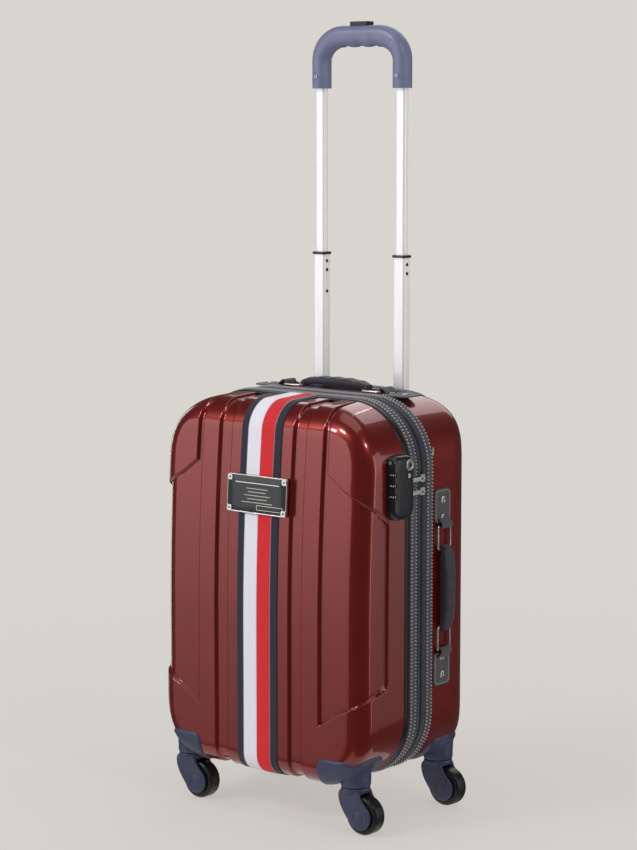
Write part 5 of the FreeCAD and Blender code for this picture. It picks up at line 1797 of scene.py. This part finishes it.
@dataclass(frozen=True)
class HandleWell:
    """The navy well that the handle slides into: a flange over the rear shell's mouth and a tub below it."""

    form: CaseForm = REAR_FORM
    half: float = 110.0
    rows: Tuple[float, float] = (220.3, 281.4)
    mouth_half: float = 90.0
    mouth_rows: Tuple[float, float] = (229.4, 264.2)
    proud: float = 6.2
    floor: float = 490.4
    pole: float = 68.0
    pole_depth: float = 218.0
    hole: Tuple[float, float] = (10.4, 7.9)
    tub_middle: float = 217.2
    edge_start: float = 202.0
    edge_radius: float = 38.0

    def flange(self) -> Patch:
        """Builds the flange: it rises off the skin by a smooth step at its edge, and thins away to both ends.

        Returns:
            The skin over the well, without its mouth.
        """
        cols = mirrored(np.unique(np.concatenate([np.linspace(0, self.half, 44), [self.mouth_half]])))
        rows = np.unique(np.concatenate([np.linspace(*self.rows, 30), self.mouth_rows]))
        p, q = np.meshgrid(cols, rows)
        edge = np.minimum(self.half - np.abs(p), np.minimum(q - self.rows[0], self.rows[1] - q))
        step = np.clip(edge / 6.5, 0, 1)
        lift = self.proud * (1 - 0.8 * (np.abs(p) / self.half) ** 3) * (1 - (1 - step) ** 2) + 0.3
        return self.form.skin(p, q, lift).without_mouth(self.mouth_half, self.mouth_rows)

    def tub(self) -> Patch:
        """Builds the tub: its rim follows the shell's round edge, below the flange, and its foot is level.

        Returns:
            The tub's wall, open at the top and the foot.
        """
        x, y = (closed_ring(rounded_rectangle(2 * self.mouth_half + 3, 31.0, 5.0)) + (0, self.tub_middle)).T
        past = np.maximum(y - self.edge_start, 0)
        rim = 513.0 + np.sqrt(np.maximum(self.edge_radius ** 2 - past ** 2, 0))
        return lattice(np.stack([np.stack([x, y, rim + (self.floor - rim) * share], -1)
                                 for share in (0.0, 0.5, 1.0)]))

    def base(self) -> Patch:
        """Builds the tub's floor: a grid of flat cells, with the cells round each tube left out.

        Returns:
            The floor.
        """
        wide, deep = self.hole
        lines = (mirrored(np.array([0.0, 30.0, self.pole - wide, self.pole + wide, 91.0])),
                 np.array([self.edge_start, self.pole_depth - deep, self.pole_depth + deep, 232.4]))
        x, y = np.meshgrid(*lines)
        flat = lattice(np.stack([x, y, np.full(x.shape, self.floor)], -1))
        middle = flat.points[flat.faces].mean(axis=1)
        hole = (np.abs(np.abs(middle[:, 0]) - self.pole) < wide) & (np.abs(middle[:, 1] - self.pole_depth) < deep)
        return flat.kept(~hole)

    def build(self) -> None:
        """Makes the flange, the tub and its floor."""
        for name, patch, wall, replaces in (("flange", self.flange(), 2.6, ["trolley_bezel"]),
                                            ("tub", self.tub(), 1.4, []), ("floor", self.base(), 1.4, [])):
            BENCH.piece(f"handle_well_{name}", [patch], "root", "navy_plastic", replaces, wall=wall, facing=Z)


# -------------- the lock


@dataclass(frozen=True)
class LockDetails:
    """The combination lock: its rounded case, two dark strips of painted groove shade, the dials' digits and the key
    plate.
    """

    face: float = 185.5
    foot: float = 171.8
    middle: Tuple[float, float] = (71.0, 446.5)
    size: Tuple[float, float] = (46.0, 83.0)
    round_over: float = 7.4
    dial_levels: Tuple[float, ...] = (437.0, 451.0, 465.0)
    dial_middle: Tuple[float, float] = (180.32, 53.18)
    dial_radius: float = 4.8
    window: float = 2.9
    grooves: Tuple[Tuple[float, float], ...] = ((64.5, 77.0), (69.5, 82.0))
    groove_levels: Tuple[float, float] = (466.0, 416.0)
    key: Tuple[float, float] = (82.0, 475.0)

    def digit(self, number: int, digit: int, level: float) -> bpy.types.Mesh:
        """Prints one digit on a dial.

        Args:
            number: the dial's number.
            digit: the digit.
            level: the dial's height.

        Returns:
            The digit's mesh, in place.
        """
        text = bpy.data.curves.new(f"digit_{number}_{digit}", "FONT")
        text.body = str(digit)
        text.size, text.extrude = 3.2 * MM, 0.12 * MM
        text.align_x = text.align_y = "CENTER"
        holder = linked(bpy.data.objects.new(text.name, text))
        graph = bpy.context.evaluated_depsgraph_get()
        mesh = bpy.data.meshes.new_from_object(holder.evaluated_get(graph))
        bpy.data.objects.remove(holder)
        co = np.zeros(len(mesh.vertices) * 3)
        mesh.vertices.foreach_get("co", co)
        turn = math.radians(-45 + 36 * digit)
        out, side = (math.cos(turn), math.sin(turn), 0), (-math.sin(turn), math.cos(turn), 0)
        start = np.array([*self.dial_middle, level]) + np.array(out) * (self.dial_radius - 0.02)
        placed = axes(start, side, Z, out)(*(co.reshape(-1, 3) / MM).T)
        mesh.vertices.foreach_set("co", BENCH.metres(placed).astype(np.float32).ravel())
        mesh.update()
        return mesh

    def digits(self) -> None:
        """Prints ten digits round each dial."""
        for number, level in enumerate(self.dial_levels, start=1):
            work = bmesh.new()
            for digit in range(10):
                work.from_mesh(self.digit(number, digit, level))
            whole = bpy.data.meshes.new(f"lock_dial_{number}_digits")
            work.to_mesh(whole)
            work.free()
            whole.materials.append(WARDROBE.get(Finish.DIGIT))
            piece = linked(bpy.data.objects.new(whole.name, whole))
            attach(piece, f"lock_dial_{number}_body")
            LOG.info("%s rides on lock_dial_%d_body", piece.name, number)

    def case(self) -> Patch:
        """Builds the case: a rounded rectangle whose outer edge is turned over in a wide quarter circle.

        The cells of that edge before each dial are left out, as the dial's window.

        Returns:
            The case.
        """
        base = self.face - self.round_over - self.foot
        rings = [(0.0, 0.0)] + [(self.round_over * (1 - math.cos(t)), base + self.round_over * math.sin(t))
                                for t in np.linspace(0, math.pi / 2, 8)]
        edge = -self.size[0] / 2
        ring = closed_ring(rounded_rectangle(*self.size, 15.0, 10))
        at_edge = np.abs(ring[:, 0] - edge) < 1e-6
        last = int(np.argmax(at_edge[:-1] & at_edge[1:]))
        sides = np.sort([level - self.middle[1] + side * self.window for level in self.dial_levels
                         for side in (-1, 1)])
        sides = sides if ring[last, 1] < ring[last + 1, 1] else sides[::-1]
        outline = np.concatenate([ring[:last + 1], [(edge, side) for side in sides], ring[last + 1:-1]])
        whole = slab(outline, rings, axes((self.foot, *self.middle), Y, Z, X), 0.15)
        x, y, z = whole.points[whole.faces].mean(axis=1).T
        by_dial = np.min([np.abs(z - level) for level in self.dial_levels], axis=0) < self.window - 0.5
        return whole.kept(~(by_dial & (y < 55.5) & (x > self.foot + base + 0.3) & (x < self.face - 0.02)))

    def groove(self, start: float, end: float) -> Patch:
        """Builds a flat dark strip let into the case's face and curving down it: painted shade for a moulded groove.

        Args:
            start: its place across the case at the top.
            end: its place at the foot.

        Returns:
            The strip, widest at its middle.
        """
        share = np.linspace(0, 1, 26)
        top, foot = self.groove_levels
        path = np.stack([0 * share + self.face - 0.15, start + (end - start) * share ** 0.7,
                         top + (foot - top) * share], -1)
        out = each(X, path)
        width = 0.25 + 0.85 * np.sin(math.pi * share) ** 0.6
        section = np.stack([np.stack([s * width, 0 * share + h], -1)
                            for s, h in ((-1, -0.4), (1, -0.4), (1, 0.2), (-1, 0.2))], 1)
        return swept(path, np.cross(out, unit(np.gradient(path, axis=0))), out, section, True)

    def build(self) -> None:
        """Makes the case, the dark strips of painted groove shade, the digits, and the key plate's rim with the dark
        plug of the key in it.
        """
        BENCH.piece("lock_case_moulding", [self.case()], "lid", "lock_plastic", ["lock_case"])
        # Painted shade: near-black strips standing in for the shade inside the case's two grooves.
        BENCH.piece("lock_groove_shade_strips", [self.groove(*ends) for ends in self.grooves], "lid",
                    "lock_plastic", finish=Finish.PIPING)
        self.digits()
        at = axes((self.face - 0.3, *self.key), Y, Z, X)
        rim = [(5.2, 0), (7.6, 0), (7.6, 0.5), (7.0, 0.9), (5.8, 0.9), (5.2, 0.5), (5.2, 0)]
        BENCH.piece("lock_key_rim", [turned(rim, at, 32)], "lid", "steel", finish=Finish.BRIGHT_METAL)
        plug = [(0, 1.05), (3.3, 1.05), (3.6, 0.9), (3.6, 0.5), (0, 0.5)]
        BENCH.piece("lock_key_plug", [turned(plug, at, 32)], "lock_key_body", "black_plastic")


# -------------- the studio


@dataclass(frozen=True)
class Studio:
    """The camera, a plain pale floor and soft lights."""

    turn: float = 39.021
    pitch: float = 7.252
    where: Tuple[float, float, float] = (2.046652, -2.526806, 0.921926)
    lens: float = 105.02
    ground: str = "#d8d5cf"
    room_light: float = 0.08
    fill_light: float = 0.56
    floor_radius: float = 60.0
    floor_sides: int = 64
    lights: Tuple[Softbox, ...] = (
        Softbox("front_softbox", (-2.05, -2.6, 0.2), (0.0, -0.1, 0.2), (2.3, 2.6), 27, 0.75),
        Softbox("side_softbox", (2.75, 1.75, 0.3), (0.0, 0.0, 0.3), (1.9, 2.8), 17, 0.7),
        Softbox("side_strip", (3.1, 0.72, 0.3), (0.0, 0.0, 0.3), (0.24, 2.8), 8, 0.5),
        Softbox("left_strip", (-3.0, 1.1, 0.4), (0.0, 0.0, 0.4), (0.3, 2.6), 9, 0.4),
        Softbox("floor_bounce", (-0.2, -0.2, -0.5), (-0.2, -0.2, 1.0), (1.7, 1.7), 5),
        Softbox("key_window", (-1.6, -2.2, 1.95), (0.0, 0.0, 0.6), (0.42, 0.5), 12),
        Softbox("front_high_window", (-0.9, -2.3, 2.6), (0.0, 0.0, 0.4), (0.5, 0.36), 24),
        Softbox("side_high_window", (2.6, -0.5, 2.7), (0.0, 0.0, 0.4), (0.42, 0.42), 14),
        Softbox("back_high_softbox", (-1.2, 2.9, 2.5), (0.0, 0.0, 0.4), (3.0, 2.0), 24),
        Softbox("top_softbox", (0.0, 0.2, 3.6), (0.0, 0.0, 0.4), (2.4, 2.4), 15))

    def camera(self) -> None:
        """Sets the camera."""
        data = bpy.data.cameras.new("camera")
        data.lens = self.lens
        data.sensor_width = 36.0
        data.clip_end = 200.0
        turn, pitch = math.radians(self.turn), math.radians(self.pitch)
        ahead = (-math.sin(turn) * math.cos(pitch), math.cos(turn) * math.cos(pitch), -math.sin(pitch))
        bpy.context.scene.camera = aimed(data, self.where, Vector(ahead))

    def sky(self) -> None:
        """Sets what is seen round the case: the ground's colour, with its own light for diffuse and glossy rays."""
        world = bpy.data.worlds.new("studio")
        world.use_nodes = True
        tree = world.node_tree
        tree.nodes.clear()
        seen, fill, dim = (add_node(tree, "ShaderNodeBackground", {0: linear(colour), 1: bright}).outputs[0]
                           for colour, bright in ((self.ground, 1.0), ("#e6e4e2", self.fill_light),
                                                  ("#d9dbe0", self.room_light)))
        path = add_node(tree, "ShaderNodeLightPath")
        room = add_node(tree, "ShaderNodeMixShader", {}, {0: path.outputs["Is Diffuse Ray"], 1: dim, 2: fill})
        both = add_node(tree, "ShaderNodeMixShader", {}, {0: path.outputs["Is Camera Ray"], 1: room.outputs[0],
                                                          2: seen})
        add_node(tree, "ShaderNodeOutputWorld", {}, {"Surface": both.outputs[0]})
        bpy.context.scene.world = world

    def floor(self) -> None:
        """Lays the floor: a wide disc of triangles round its middle."""
        mesh = bpy.data.meshes.new("floor")
        points = [(0.0, 0.0, 0.0)] + [(x, y, 0.0) for x, y in circle(self.floor_radius, self.floor_sides)]
        mesh.from_pydata(points, [], [(0, k + 1, (k + 1) % self.floor_sides + 1) for k in range(self.floor_sides)])
        mesh.materials.append(WARDROBE.get(Finish.PAPER))
        floor = linked(bpy.data.objects.new("floor", mesh))
        floor.visible_glossy = floor.visible_shadow = False

    def build(self) -> None:
        """Makes the sky, the floor, the lights and the camera."""
        bpy.context.scene.view_settings.view_transform = "Standard"
        self.sky()
        self.floor()
        for light in self.lights:
            light.hang()
        self.camera()


def main() -> None:
    """Builds the looks of the suitcase, sub-assembly by sub-assembly."""
    logging.basicConfig(level=logging.INFO, format="%(name)s: %(message)s")
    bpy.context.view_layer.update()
    WARDROBE.dress_nodes()
    casters = [Caster(end, hand) for end in ("front", "rear") for hand in ("left", "right")]
    for assembly in (Studio(), FrontShell(), RearShell(), EdgeTrims(), Stripe(), Linings(), NamePlate(), *casters,
                     CarryHandle("top_handle", (0.0, 165.0, 550.0), X, Z),
                     CarryHandle("side_handle", (175.0, 165.0, 304.0), Z, X),
                     Telescope(), HandleWell(), LockDetails()):
        assembly.build()
    LOG.info("%d pieces made", BENCH.count)


if __name__ == "__main__":
    main()
